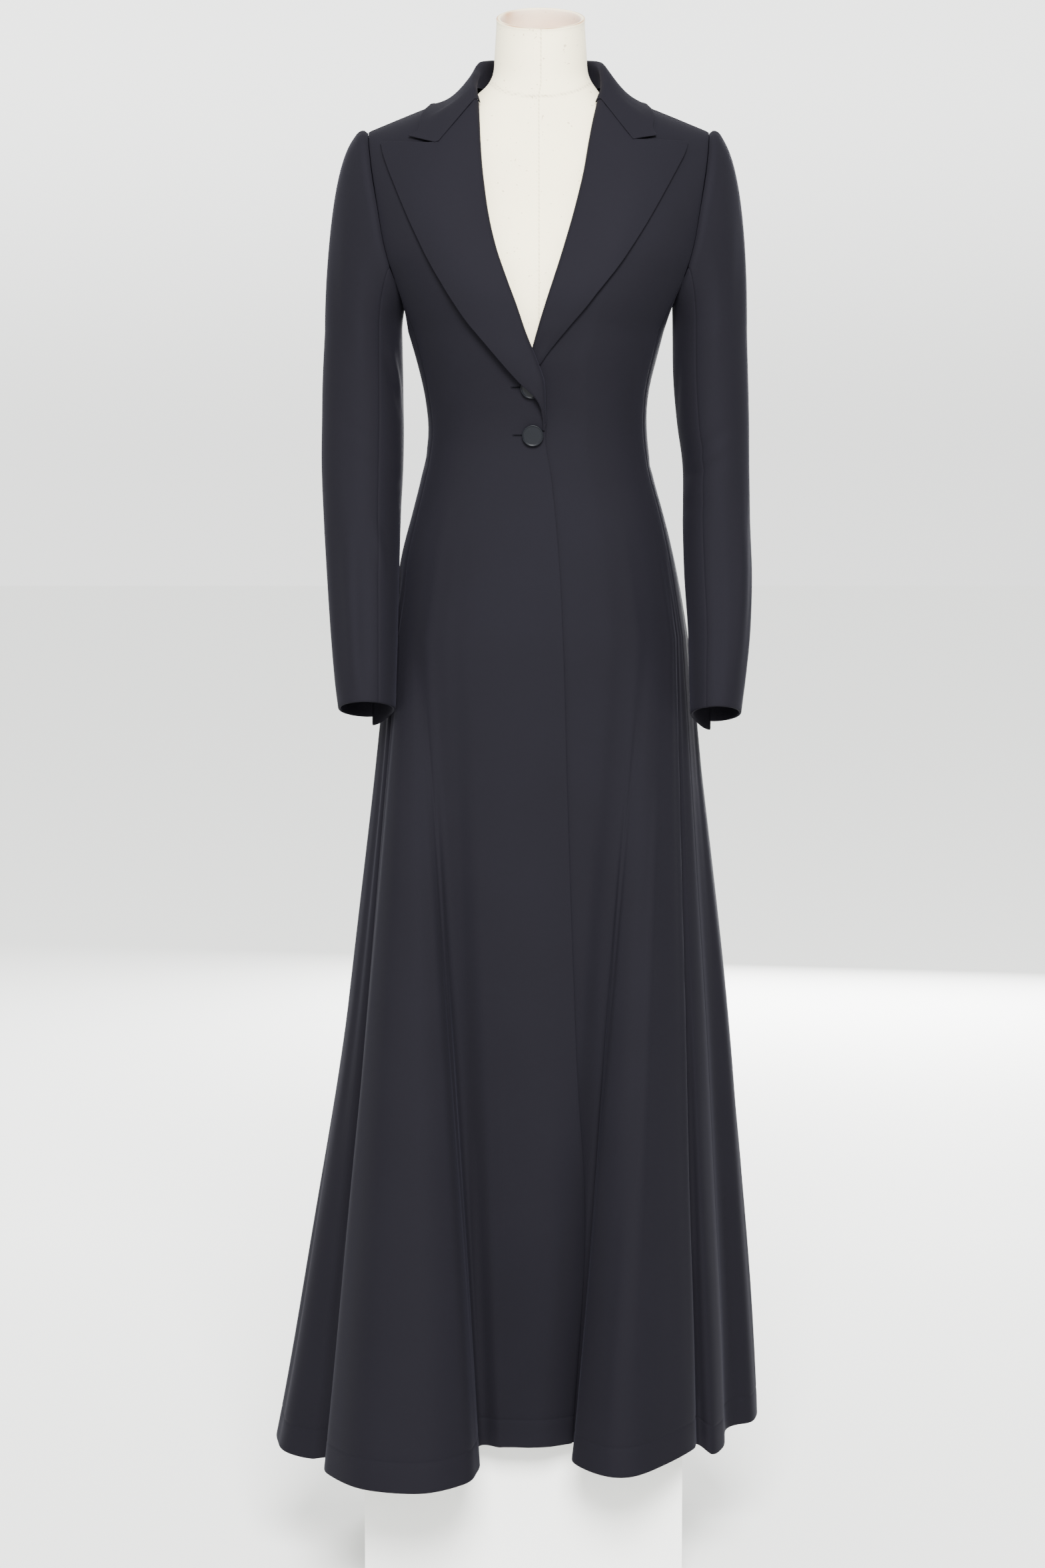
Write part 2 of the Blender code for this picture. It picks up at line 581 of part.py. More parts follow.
# Sleeve rings: height, outer x, inner x, middle y, half depth; and how much the ring tips up at the front
sleeve_right_table = [
    (1.400, 0.2400, 0.1530, 0.006, 0.063, 0.0),
    (1.350, 0.2425, 0.1525, 0.004, 0.059, 0.0),
    (1.300, 0.2435, 0.1520, 0.000, 0.056, 0.0),
    (1.250, 0.2440, 0.1525, -0.007, 0.053, 0.02),
    (1.190, 0.2415, 0.1545, -0.022, 0.051, 0.06),
    (1.130, 0.2370, 0.1550, -0.044, 0.048, 0.12),
    (1.070, 0.2315, 0.1555, -0.068, 0.045, 0.18),
    (1.020, 0.2260, 0.1565, -0.087, 0.043, 0.24),
    (0.985, 0.2215, 0.1580, -0.098, 0.042, 0.28),
]
sleeve_left_table = [
    (1.400, 0.2345, 0.1510, 0.006, 0.063, 0.0),
    (1.350, 0.2355, 0.1520, 0.004, 0.059, 0.0),
    (1.300, 0.2360, 0.1560, 0.000, 0.056, 0.0),
    (1.250, 0.2360, 0.1620, -0.006, 0.053, 0.02),
    (1.190, 0.2370, 0.1610, -0.020, 0.051, 0.06),
    (1.130, 0.2385, 0.1620, -0.042, 0.048, 0.12),
    (1.070, 0.2350, 0.1655, -0.066, 0.045, 0.18),
    (1.020, 0.2290, 0.1660, -0.086, 0.043, 0.24),
    (0.980, 0.2235, 0.1670, -0.098, 0.042, 0.28),
]

# How the sleeve's head leaves the armhole: outward at the top and the sides, up at the top,
# down under the arm, forward and back at the sides; then the share of its reach that hangs
sleeve_head = {"top_out": 0.034, "side_out": 0.012, "top_up": 0.010, "under_down": 0.012,
               "side_forward": 0.010, "hang": 0.42, "rows": 6}

sleeve_front_seam, sleeve_back_seam = 118, 260   # turns round the arm

def sleeve_ring(side, table, k, turn):
    height, outer, inner, middle, depth, tip = table[k]
    lean = math.radians(turn)
    across, ahead = math.cos(lean), math.sin(lean)
    return np.array([side * ((outer + inner) / 2 + (outer - inner) / 2 * across), middle - depth * ahead,
                     height + tip * depth * ahead])

def sleeve_point(side, table, turn, row):
    cap_rows = sleeve_head["rows"]
    if row > cap_rows:
        return sleeve_ring(side, table, row - cap_rows, turn)
    start = armhole_point(side, turn) + np.array([side * sleeve_gap, 0, 0])
    end = sleeve_ring(side, table, 0, turn)
    top = max(0.0, math.cos(math.radians(turn)))
    under = max(0.0, -math.cos(math.radians(turn)))
    reach = np.linalg.norm(end - start)
    outward = sleeve_head["top_out"] * top + sleeve_head["side_out"] * (1 - top) * (1 - under)
    lift = np.array([side * outward,
                     -sleeve_head["side_forward"] * math.sin(math.radians(turn)) * (1 - top),
                     sleeve_head["top_up"] * top - sleeve_head["under_down"] * under])
    low = end + (0, 0, reach * sleeve_head["hang"])
    u = row / cap_rows
    return ((1 - u) ** 3 * start + 3 * u * (1 - u) ** 2 * (start + lift)
            + 3 * u * u * (1 - u) * low + u ** 3 * end)

def sleeve_grid(side, table, first, last, columns):
    turns = np.linspace(first, last, columns + 1)
    rows = [[sleeve_point(side, table, turn % 360, row) for turn in turns]
            for row in range(sleeve_head["rows"] + len(table))][::-1]
    grid = np.array(rows)
    return trim(grid if side < 0 else grid[:, ::-1], ["first", "last"])

def turned_solid(name, profile, count, made):
    # A solid of rings; each profile row holds its half width, front, back, height and tip
    verts, faces = [], []
    for half, front, back, height, tip in profile:
        for k in range(count):
            turn = 2 * math.pi * k / count
            x, ahead = half * math.sin(turn), math.cos(turn)
            y = -front * ahead if ahead > 0 else -back * ahead
            verts.append((x, y, height + tip * y))
    rings = len(profile)
    for i in range(rings - 1):
        for k in range(count):
            a, b = i * count + k, i * count + (k + 1) % count
            faces.append((a, b, b + count, a + count))
    verts += [(0, 0, profile[0][3]), (0, 0, profile[-1][3])]
    low, high = len(verts) - 2, len(verts) - 1
    for k in range(count):
        faces.append((low, (k + 1) % count, k))
        faces.append((high, (rings - 1) * count + k, (rings - 1) * count + (k + 1) % count))
    return add_solid(name, verts, faces, made)

# Dress form rings: half width, front depth, back depth, height, tip
form_table = [
    (0.120, 0.088, 0.084, 0.960, 0), (0.146, 0.112, 0.106, 0.964, 0), (0.1530, 0.118, 0.113, 0.985, 0),
    (0.1560, 0.122, 0.117, 1.060, 0), (0.1430, 0.110, 0.101, 1.153, 0), (0.1200, 0.099, 0.081, 1.243, 0),
    (0.1140, 0.098, 0.076, 1.287, 0), (0.1165, 0.105, 0.079, 1.332, 0), (0.1260, 0.117, 0.085, 1.376, 0),
    (0.1320, 0.123, 0.089, 1.410, 0), (0.1370, 0.124, 0.093, 1.445, 0), (0.1430, 0.114, 0.095, 1.490, 0),
    (0.1490, 0.100, 0.0930, 1.530, 0), (0.1520, 0.086, 0.0878, 1.570, 0), (0.1480, 0.074, 0.0798, 1.597, 0),
    (0.1340, 0.066, 0.0728, 1.614, 0), (0.1095, 0.060, 0.0658, 1.630, 0), (0.0850, 0.055, 0.0578, 1.6465, 0),
    (0.0690, 0.052, 0.0540, 1.6615, 0.05), (0.0585, 0.0512, 0.0535, 1.673, 0.08),
    (0.0525, 0.051, 0.053, 1.686, 0.12), (0.0510, 0.052, 0.053, 1.708, 0.20),
    (0.0492, 0.053, 0.054, 1.738, 0.33), (0.0495, 0.054, 0.055, 1.744, 0.35),
    (0.0482, 0.0525, 0.0535, 1.7455, 0.35), (0.0455, 0.0495, 0.0505, 1.745, 0.35),
    (0.0440, 0.048, 0.049, 1.741, 0.35),
    (0.0430, 0.047, 0.048, 1.727, 0.35), (0.0300, 0.033, 0.034, 1.722, 0.35),
]
button_table = [(0.0094, 0.0), (0.0112, 0.0010), (0.0116, 0.0022), (0.0106, 0.0036),
                (0.0080, 0.0046), (0.0042, 0.0051)]   # radius and distance off the cloth
button_crown = 0.0053
button_sides = 20
# x and z of each button on the right front, and how far its underside stands off
button_places = {"button_upper": (-0.0085, 1.3355, 0.0008), "button_lower": (-0.0067, 1.284, 0.0019)}
form_sides = 32
pole = {"radius": 0.016, "gap": 0.0004, "sides": 24}
base = {"width": 0.354, "depth": 0.292, "height": 0.270, "chamfer": 0.002}

def add_button(name, panel, x, z, lift, made):
    point, normal = on_front(surface_of(panel), x, z)
    normal = Vector(normal).normalized()
    side = normal.cross(Vector((0, 0, 1))).normalized()
    up = side.cross(normal)
    count = button_sides
    verts, faces = [], []
    for radius, out in button_table:
        for k in range(count):
            turn = 2 * math.pi * k / count
            place = (Vector(point) + normal * (lift + out) + side * radius * math.cos(turn)
                     + up * radius * math.sin(turn))
            verts.append(tuple(place))
    rings = len(button_table)
    for i in range(rings - 1):
        for k in range(count):
            a, b = i * count + k, i * count + (k + 1) % count
            faces.append((a, b, b + count, a + count))
    verts += [tuple(Vector(point) + normal * (lift + out)) for out in (0.0, button_crown)]
    for k in range(count):
        faces.append((len(verts) - 2, (k + 1) % count, k))
        faces.append((len(verts) - 1, (rings - 1) * count + k, (rings - 1) * count + (k + 1) % count))
    return add_solid(name, verts, faces, made)

for old in list(bpy.data.objects):
    bpy.data.objects.remove(old)

wool = material("navy wool", (0.030, 0.036, 0.050), 0.85)
linen = material("cream linen", (0.80, 0.76, 0.69), 0.9)
gloss = material("covered button", (0.016, 0.020, 0.030), 0.35)
white = material("white paint", (0.82, 0.82, 0.80), 0.6)
steel = material("steel", (0.55, 0.55, 0.56), 0.4)

def share(facing, one, one_column, other, other_column, rows):
    # Both sides of a seam get the same normal, so the cut edges stay parallel
    mean = facing[one][:rows, one_column] + facing[other][:rows, other_column]
    mean /= np.linalg.norm(mean, axis=1)[:, None]
    facing[one][:rows, one_column] = mean
    facing[other][:rows, other_column] = mean

fronts = {side: front_grid(side) for side in (-1, 1)}
panels = {"front_right": fronts[-1], "front_left": fronts[1], "side_right": side_grid(-1),
          "side_left": side_grid(1), "back_right": back_grid(-1), "back_left": back_grid(1)}
facing = {name: normals(grid) for name, grid in panels.items()}
lower_rows = len(body_heights) + seam_rows
share(facing, "front_right", 0, "side_right", -1, lower_rows)
share(facing, "front_left", -1, "side_left", 0, lower_rows)
share(facing, "back_right", -1, "side_right", 0, lower_rows)
share(facing, "back_left", 0, "side_left", -1, lower_rows)
share(facing, "back_right", 0, "back_left", -1, None)
for name, grid in panels.items():
    if name.startswith(("front", "back")):
        side = -1 if name.endswith("right") else 1
        slope = np.array([side * (armhole_point(1, 0)[2] - shoulder_neck[2]), 0,
                          -(armhole_point(1, 0)[0] - shoulder_neck[0])])
        slope /= -np.linalg.norm(slope)
        on_shoulder = np.abs(grid[-1, :, 0]) > shoulder_neck[0] - 0.002
        facing[name][-1, on_shoulder] = slope
    shell(name, grid, wool, facing[name])
lapels = {-1: lapel_grid(-1, fronts[-1], lapel_right_table), 1: lapel_grid(1, fronts[1], lapel_left_table)}
for side, name in ((-1, "lapel_right"), (1, "lapel_left")):
    out_of = normals(lapels[side])
    out_of[0] = out_of[1]
    shell(name, lapels[side], wool, out_of, lapel_wall)
backs = {-1: panels["back_right"], 1: panels["back_left"]}
shell("collar", collar_grid(fronts, backs, lapels), wool, wall=lapel_wall)
for side, name, table in ((-1, "sleeve_right", sleeve_right_table), (1, "sleeve_left", sleeve_left_table)):
    halves = {name + "_upper": sleeve_grid(side, table, sleeve_back_seam - 360, sleeve_front_seam, 12),
              name + "_under": sleeve_grid(side, table, sleeve_front_seam, sleeve_back_seam, 8)}
    facing = {half: normals(grid) for half, grid in halves.items()}
    share(facing, name + "_upper", 0, name + "_under", -1, None)
    share(facing, name + "_upper", -1, name + "_under", 0, None)
    for half, grid in halves.items():
        shell(half, grid, wool, facing[half])
for name, (x, z, lift) in button_places.items():
    add_button(name, fronts[-1], x, z, lift, gloss)
turned_solid("form", form_table, form_sides, linen)
form_bottom = form_table[0][3]
turned_solid("pole", [(pole["radius"], pole["radius"], pole["radius"], z, 0)
                      for z in (base["height"] + pole["gap"], form_bottom - pole["gap"])],
             pole["sides"], steel)

w, d, h, c = base["width"] / 2, base["depth"] / 2, base["height"], base["chamfer"]
corners = [(x, y, z) for z, cut in ((0, c), (c, 0), (h - c, 0), (h, c))
           for x, y in ((-w + cut, -d + cut), (w - cut, -d + cut), (w - cut, d - cut), (-w + cut, d - cut))]
sides = [(4 * i + k, 4 * i + (k + 1) % 4, 4 * i + 4 + (k + 1) % 4, 4 * i + 4 + k)
         for i in range(3) for k in range(4)]
add_solid("stand_base", corners, sides + [(3, 2, 1, 0), (12, 13, 14, 15)], white)
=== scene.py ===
import math
import bmesh
import bpy
import numpy as np
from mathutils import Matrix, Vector, noise
from mathutils.bvhtree import BVHTree


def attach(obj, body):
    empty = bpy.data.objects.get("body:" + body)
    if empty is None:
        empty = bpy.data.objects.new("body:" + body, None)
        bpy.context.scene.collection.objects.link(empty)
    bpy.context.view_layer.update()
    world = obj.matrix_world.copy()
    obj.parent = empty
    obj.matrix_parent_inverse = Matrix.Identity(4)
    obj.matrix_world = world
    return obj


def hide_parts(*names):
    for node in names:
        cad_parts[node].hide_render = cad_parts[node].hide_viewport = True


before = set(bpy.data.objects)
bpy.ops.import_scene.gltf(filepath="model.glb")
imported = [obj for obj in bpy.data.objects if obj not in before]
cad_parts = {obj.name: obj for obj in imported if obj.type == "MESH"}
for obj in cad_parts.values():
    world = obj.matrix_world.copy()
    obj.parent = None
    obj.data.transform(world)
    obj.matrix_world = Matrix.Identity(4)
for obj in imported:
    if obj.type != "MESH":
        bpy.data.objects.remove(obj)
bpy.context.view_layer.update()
print("frame loaded with", len(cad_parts), "nodes")

# The front faces -Y, the wearer's left is at +X, and sizes are in metres.
coatCut = {
    "wall": 0.002,            # cloth thickness
    "lapelWall": 0.0015,
    "seamGap": 0.00008,       # half of the gap between two panels
    "sleeveGap": -0.0002,     # the body's cloth rolls in there, so the sleeve reaches past its line
    "shift": 0.017,           # how far the coat hangs beside the stand's middle
    "hipHeight": 1.06,
    "chestHeight": 1.40,
    "hemHeight": 0.165,
    "hemTurnUp": 0.030,       # depth of the turned-up hem
    "hemLineDepth": 0.0006,
    "seamDip": 0.0007,        # how far the cloth rolls in at a pressed seam
    "seamRoll": 0.0016,       # over this length
    "hemLineWidth": 0.0011,
    "bodyWaves": (0.13, 0.0022, 3.0),    # slow unevenness: size, depth, seed
    "bodiceLoose": 0.35, "looseRun": 0.5,      # share of it in the bodice, and the way down to all of it
    "calmEdge": 0.01, "calmRun": 0.05,         # no creases this near the front edges
    "plainAbove": (1.44, 0.10), "plainBackAbove": (1.60, 0.12),    # nor above this height, fading below it
    "lapDepth": 0.0033,
    "lapDepthAtRoll": 0.0066,
    "rollStart": 1.24, "rollRun": 0.08,         # the lap gets deeper over these heights
    "lapEnd": 1.376, "lapEndRun": 0.03,         # and thins again over these
    "skirtRows": 44, "bodiceRows": 32, "upperRows": 34, "seamRows": 8,
    "frontColumns": 84, "lapColumns": 8, "sideColumns": 76, "backColumns": 76,
    "hipWeight": 1.2,         # share of the hip's lengths in spacing the columns
    "frontSwell": 0.010, "backSwell": 0.012,    # how far the upper panels bow out
    "frontBend": 1.6, "backBend": 3.5,          # how soon they take the shoulder's line
}

# Coat ring by height: right half width, left half width, front depth, back depth
ringTable = [
    (1.060, 0.1680, 0.1655, 0.134, 0.129),
    (1.108, 0.1600, 0.1580, 0.127, 0.121),
    (1.153, 0.1530, 0.1500, 0.120, 0.111),
    (1.198, 0.1420, 0.1400, 0.113, 0.099),
    (1.243, 0.1310, 0.1280, 0.108, 0.089),
    (1.287, 0.1240, 0.1220, 0.108, 0.084),
    (1.332, 0.1290, 0.1240, 0.118, 0.088),
    (1.376, 0.1390, 0.1340, 0.130, 0.094),
    (1.400, 0.1460, 0.1400, 0.134, 0.097),
]
ringPower = 2.25

# Skirt folds from the back over the wearer's right, the front and the left to the back:
# angle at the hip, then x, y, z at the hem, and the bow of x half way down
foldTable = [
    (-174, -0.040, 0.262, 0.158, 0.000), (-165, -0.086, 0.228, 0.160, 0.000),
    (-155, -0.105, 0.178, 0.162, 0.000), (-147, -0.145, 0.196, 0.160, 0.000),
    (-137, -0.205, 0.190, 0.158, 0.004), (-127, -0.243, 0.132, 0.158, 0.006),
    (-115, -0.238, 0.058, 0.160, 0.008), (-104, -0.284, 0.012, 0.156, 0.012),
    (-92, -0.300, -0.052, 0.152, 0.012), (-82, -0.288, -0.112, 0.150, 0.011),
    (-73, -0.254, -0.142, 0.150, 0.006), (-67, -0.232, -0.160, 0.156, 0.002),
    (-62, -0.229, -0.228, 0.160, 0.000), (-58.5, -0.186, -0.290, 0.163, 0.000),
    (-55.5, -0.125, -0.306, 0.164, 0.000), (-52.5, -0.080, -0.284, 0.167, 0.000),
    (-49, -0.066, -0.250, 0.170, 0.000), (-42, -0.068, -0.198, 0.176, 0.000),
    (-24, -0.042, -0.190, 0.178, 0.000), (0, -0.012, -0.192, 0.178, 0.000),
    (22, 0.018, -0.188, 0.178, 0.000), (36, 0.042, -0.180, 0.176, 0.000),
    (43, 0.036, -0.222, 0.171, 0.000), (48, 0.064, -0.254, 0.168, 0.000),
    (54, 0.100, -0.262, 0.168, 0.000), (60, 0.140, -0.228, 0.172, 0.000),
    (65, 0.171, -0.182, 0.174, 0.000), (68, 0.177, -0.146, 0.168, 0.000),
    (71, 0.192, -0.150, 0.158, 0.000), (75, 0.2065, -0.122, 0.156, 0.002),
    (81, 0.214, -0.062, 0.158, 0.006), (90, 0.247, -0.028, 0.158, 0.009),
    (102, 0.250, 0.045, 0.157, 0.009), (114, 0.214, 0.084, 0.160, 0.005),
    (126, 0.218, 0.156, 0.158, 0.003), (137, 0.168, 0.210, 0.158, 0.000),
    (147, 0.112, 0.192, 0.161, 0.000), (157, 0.086, 0.212, 0.160, 0.000),
    (168, 0.046, 0.262, 0.158, 0.000), (178, -0.004, 0.246, 0.160, 0.000),
]

# Seam angles by height: right side-front, right side-back, left side-front, left side-back
seamTable = [
    (0.160, -66.0, -120.0, 79.0, 118.0),
    (0.700, -68.0, -122.0, 78.0, 120.0),
    (1.060, -70.0, -125.0, 76.0, 124.0),
    (1.290, -72.0, -127.0, 73.0, 127.0),
    (1.400, -71.0, -125.0, 71.0, 125.0),
]

# Front edges by height: x of the lapping right front, x of the left front under it
edgeTable = [
    (0.150, 0.036, -0.040), (0.452, 0.050, -0.036), (0.559, 0.043, -0.035), (0.728, 0.036, -0.034),
    (0.912, 0.030, -0.033), (1.052, 0.026, -0.032), (1.152, 0.021, -0.031), (1.240, 0.0125, -0.030),
    (1.284, 0.006, -0.030), (1.303, 0.0075, -0.030), (1.322, 0.0045, -0.028), (1.346, 0.0020, -0.018),
    (1.378, -0.0115, -0.0045), (1.400, -0.0200, 0.0015),
]

# Armhole seam: turn round the arm (0 top, 90 front, 180 under, 270 back), x, y, z
armholeTable = [
    (0, 0.1900, 0.003, 1.621), (22, 0.1885, -0.024, 1.609), (45, 0.1845, -0.049, 1.577),
    (70, 0.1785, -0.064, 1.540), (95, 0.1715, -0.069, 1.497), (120, 0.1630, -0.066, 1.465),
    (145, 0.1545, -0.049, 1.444), (180, 0.1500, -0.004, 1.434), (215, 0.1535, 0.043, 1.444),
    (240, 0.1625, 0.067, 1.470), (265, 0.1720, 0.077, 1.505), (290, 0.1800, 0.076, 1.545),
    (315, 0.1860, 0.060, 1.583), (338, 0.1893, 0.033, 1.611), (360, 0.1900, 0.003, 1.621),
]
frontSeamTurn = 128.0
backSeamTurn = 232.0
shoulderNeck = (0.076, 0.005, 1.666)
nape = (0.0, 0.066, 1.668)

# Roll line of each lapel above the chest row: x, y, z
rollLine = {
    -1: [(-0.0320, -0.135, 1.436), (-0.0475, -0.126, 1.479), (-0.0580, -0.112, 1.523),
         (-0.0640, -0.093, 1.567), (-0.0675, -0.070, 1.612), (-0.0695, -0.042, 1.650)],
    1: [(0.0130, -0.135, 1.436), (0.0270, -0.126, 1.479), (0.0400, -0.112, 1.523),
        (0.0510, -0.093, 1.567), (0.0590, -0.070, 1.612), (0.0675, -0.042, 1.650)],
}
centreBack = [(0.103, 1.450), (0.104, 1.500), (0.098, 1.560), (0.084, 1.620)]

# Soft creases of the body: angle and height of both ends, half width in metres, how far the
# cloth rises (or sinks, below zero) along it
bodyCreases = [
    # bodice and waist
    (-98, 1.395, -84, 1.30, 0.009, -0.0016), (-112, 1.36, -92, 1.27, 0.008, 0.0012),
    (94, 1.39, 86, 1.30, 0.009, -0.0015), (110, 1.35, 96, 1.27, 0.008, 0.0011),
    (-60, 1.275, -22, 1.268, 0.007, -0.0009), (58, 1.262, 24, 1.270, 0.007, -0.0008),
    (-100, 1.262, -70, 1.250, 0.007, -0.0013), (104, 1.258, 74, 1.248, 0.007, -0.0012),
    (150, 1.250, 112, 1.262, 0.007, -0.0015), (-158, 1.262, -118, 1.250, 0.007, -0.0014),
    (168, 1.300, 130, 1.296, 0.006, -0.0010), (-148, 1.306, -122, 1.296, 0.006, -0.0010),
    # from the waist into the skirt
    (-44, 1.20, -46, 0.72, 0.012, 0.0016), (-30, 1.16, -33, 0.60, 0.014, -0.0012),
    (-84, 1.18, -88, 0.66, 0.012, 0.0022), (-77, 1.12, -78, 0.50, 0.010, -0.0024),
    (-98, 1.10, -98, 0.48, 0.012, -0.0022), (-110, 1.14, -109, 0.40, 0.013, 0.0020),
    (38, 1.18, 40, 0.70, 0.012, 0.0014), (30, 1.10, 29, 0.52, 0.014, -0.0012),
    (60, 1.16, 62, 0.64, 0.011, 0.0020), (72, 1.14, 71, 0.56, 0.010, -0.0020),
    (88, 1.15, 86, 0.56, 0.012, -0.0022), (98, 1.12, 98, 0.46, 0.012, 0.0020),
    (132, 1.16, 131, 0.60, 0.014, -0.0020), (152, 1.14, 151, 0.50, 0.014, 0.0022),
    (174, 1.16, 173, 0.58, 0.013, -0.0018), (-168, 1.13, -169, 0.48, 0.013, 0.0020),
    (-142, 1.15, -143, 0.56, 0.014, -0.0020), (-130, 1.10, -131, 0.50, 0.012, 0.0018),
    # crisp fold edges, and a soft ridge down the left front's fold
    (-47.8, 0.96, -47.8, 0.18, 0.0055, -0.0018),
    (-66.0, 1.10, -66.5, 0.18, 0.0060, 0.0026), (-70.5, 1.12, -71.0, 0.18, 0.0070, -0.0044),
    (41.5, 0.96, 41.8, 0.18, 0.0060, -0.0026), (54.0, 0.88, 53.0, 0.24, 0.0100, 0.0028),
    (64.5, 1.08, 65.0, 0.18, 0.0050, 0.0022), (68.0, 1.10, 68.2, 0.18, 0.0055, -0.0034),
    (90, 1.17, 93, 0.93, 0.020, 0.0040),
    # near the hem
    (-88, 0.50, -87, 0.16, 0.016, -0.0030), (-70, 0.42, -70, 0.16, 0.012, 0.0022),
    (-12, 0.60, -10, 0.16, 0.022, -0.0024), (-34, 0.50, -36, 0.16, 0.020, 0.0020),
    (10, 0.52, 12, 0.16, 0.018, 0.0020), (28, 0.44, 30, 0.16, 0.016, -0.0018),
    (51, 0.48, 50, 0.16, 0.014, 0.0022), (84, 0.46, 85, 0.16, 0.015, -0.0026),
    (96, 0.50, 96, 0.16, 0.014, 0.0022), (119, 0.46, 120, 0.16, 0.016, -0.0024),
    (142, 0.50, 142, 0.16, 0.016, 0.0024), (162, 0.44, 162, 0.16, 0.014, -0.0024),
    (-178, 0.50, -178, 0.16, 0.014, 0.0024), (-160, 0.46, -160, 0.16, 0.015, -0.0026),
    (-132, 0.50, -132, 0.16, 0.016, 0.0024), (-121, 0.42, -121, 0.16, 0.014, -0.0022),
]


def smooth(table, at):
    # Smooth values between the rows of a table, by its first column
    rows = np.asarray(table, float)
    x, y = rows[:, 0], rows[:, 1:]
    places = np.atleast_1d(np.asarray(at, float))
    k = np.clip(np.searchsorted(x, places) - 1, 0, len(x) - 2)
    step = np.diff(x)[:, None]
    secant = np.diff(y, axis=0) / step
    inner = (secant[1:] * step[:-1] + secant[:-1] * step[1:]) / (step[1:] + step[:-1])
    slope = np.vstack([secant[:1], inner, secant[-1:]])
    h = step[k]
    u = np.clip((places - x[k])[:, None] / h, 0, 1)
    value = ((2 * u ** 3 - 3 * u ** 2 + 1) * y[k] + (u ** 3 - 2 * u ** 2 + u) * h * slope[k]
             + (3 * u ** 2 - 2 * u ** 3) * y[k + 1] + (u ** 3 - u ** 2) * h * slope[k + 1])
    return value if np.ndim(at) else value[0]


def lengthAlong(line):
    steps = np.linalg.norm(np.diff(line[:, :3], axis=0), axis=1)
    return np.concatenate([[0], np.cumsum(steps)])


def along(points, count):
    # Points at even lengths along a smooth line through the given ones
    points = np.asarray(points, float)
    length = lengthAlong(points)
    return smooth(np.column_stack([length, points]), np.linspace(0, length[-1], count))


def ease(value):
    value = np.clip(value, 0.0, 1.0)
    return value * value * (3 - 2 * value)


wrappedFolds = ([(row[0] - 360, *row[1:]) for row in foldTable[-3:]] + foldTable
                + [(row[0] + 360, *row[1:]) for row in foldTable[:3]])


def ringLine(angles, height):
    right, left, front, back = smooth(ringTable, height)
    turn = np.radians(angles)
    across = np.sign(np.sin(turn)) * np.abs(np.sin(turn)) ** (2 / ringPower)
    ahead = np.sign(np.cos(turn)) * np.abs(np.cos(turn)) ** (2 / ringPower)
    return np.column_stack([across * np.where(across > 0, left, right),
                            -ahead * np.where(ahead > 0, front, back), np.full(len(turn), height)])


def coatLine(angles, height):
    # Outer face of the body cloth: a ring above the hip, straight runs to the folds below,
    # with the angle and the height kept beside each point
    angles = np.atleast_1d(np.asarray(angles, float))
    hip, hem = coatCut["hipHeight"], coatCut["hemHeight"]
    if height >= hip:
        points = ringLine(angles, height)
    else:
        drop = (hip - height) / (hip - hem)
        folds = smooth(wrappedFolds, angles)
        top = ringLine(angles, hip)
        points = top + (folds[:, :3] - top) * drop
        points[:, 0] += 4 * drop * (1 - drop) * folds[:, 3]
    return np.column_stack([points, angles, np.full(len(angles), height)])


def edgeAngle(height, column):
    target = smooth(edgeTable, height)[column]
    low, high = -40.0, 36.0
    for _ in range(24):
        middle = (low + high) / 2
        low, high = (middle, high) if coatLine(middle, height)[0, 0] < target else (low, middle)
    return low


def armholePoints(side, turns):
    points = smooth(armholeTable, np.atleast_1d(turns))
    points[:, 0] *= side
    return points


def spread(first, last, count, height):
    # Column fractions so that the folds at the hem get the closer columns
    angles = np.linspace(first, last, 400)
    hem = coatLine(angles, height)[:, :3]
    hip = ringLine(angles, coatCut["hipHeight"])
    length = lengthAlong(hem) + coatCut["hipWeight"] * lengthAlong(hip)
    return np.interp(np.linspace(0, length[-1], count + 1), length, np.linspace(0, 1, len(angles)))


def bodyHeights():
    # Close rows at the hem and at its stitched line, even ones above
    hem, hip, chest = coatCut["hemHeight"], coatCut["hipHeight"], coatCut["chestHeight"]
    turnUp = coatCut["hemTurnUp"]
    low = [0, 0.0012, 0.004, 0.012, 0.020, turnUp - 0.003, turnUp - 0.0012, turnUp, turnUp + 0.0012,
           turnUp + 0.003, turnUp + 0.010]
    skirt = np.linspace(hem + turnUp + 0.024, hip, coatCut["skirtRows"])
    bodice = np.linspace(hip, chest, coatCut["bodiceRows"] + 1)[1:]
    return [hem + rise for rise in low] + list(skirt) + list(bodice)


heights = bodyHeights()


def spanOf(line):
    length = lengthAlong(line)
    return length / length[-1]


def alongAt(points, parts):
    points = np.asarray(points, float)
    length = lengthAlong(points)
    return np.column_stack([np.interp(np.asarray(parts) * length[-1], length, points[:, k])
                            for k in range(points.shape[1])])


def patchBetween(left, right, bottom, top, topPower):
    # Patch between four lines; the top line shapes the rows near it, the more so the higher the power
    rows, columns = len(left), len(bottom)
    s = spanOf(bottom)[:, None]
    low = bottom[:, :3] - ((1 - s) * bottom[0, :3] + s * bottom[-1, :3])
    high = top - ((1 - s) * top[0] + s * top[-1])
    patch = np.zeros((rows, columns, 5))
    for i in range(rows):
        v = i / (rows - 1)
        patch[i, :, :3] = (1 - s) * left[i] + s * right[i] + (1 - v) * low + v ** topPower * high
        patch[i, :, 3] = bottom[:, 3]
        patch[i, :, 4] = patch[i, :, 2]
    return patch


def bulge(rows, steps):
    # From 0 at the patch's edges to 1 at its middle
    return np.sin(math.pi * np.linspace(0, 1, rows)[:, None]) * np.sin(math.pi * steps)


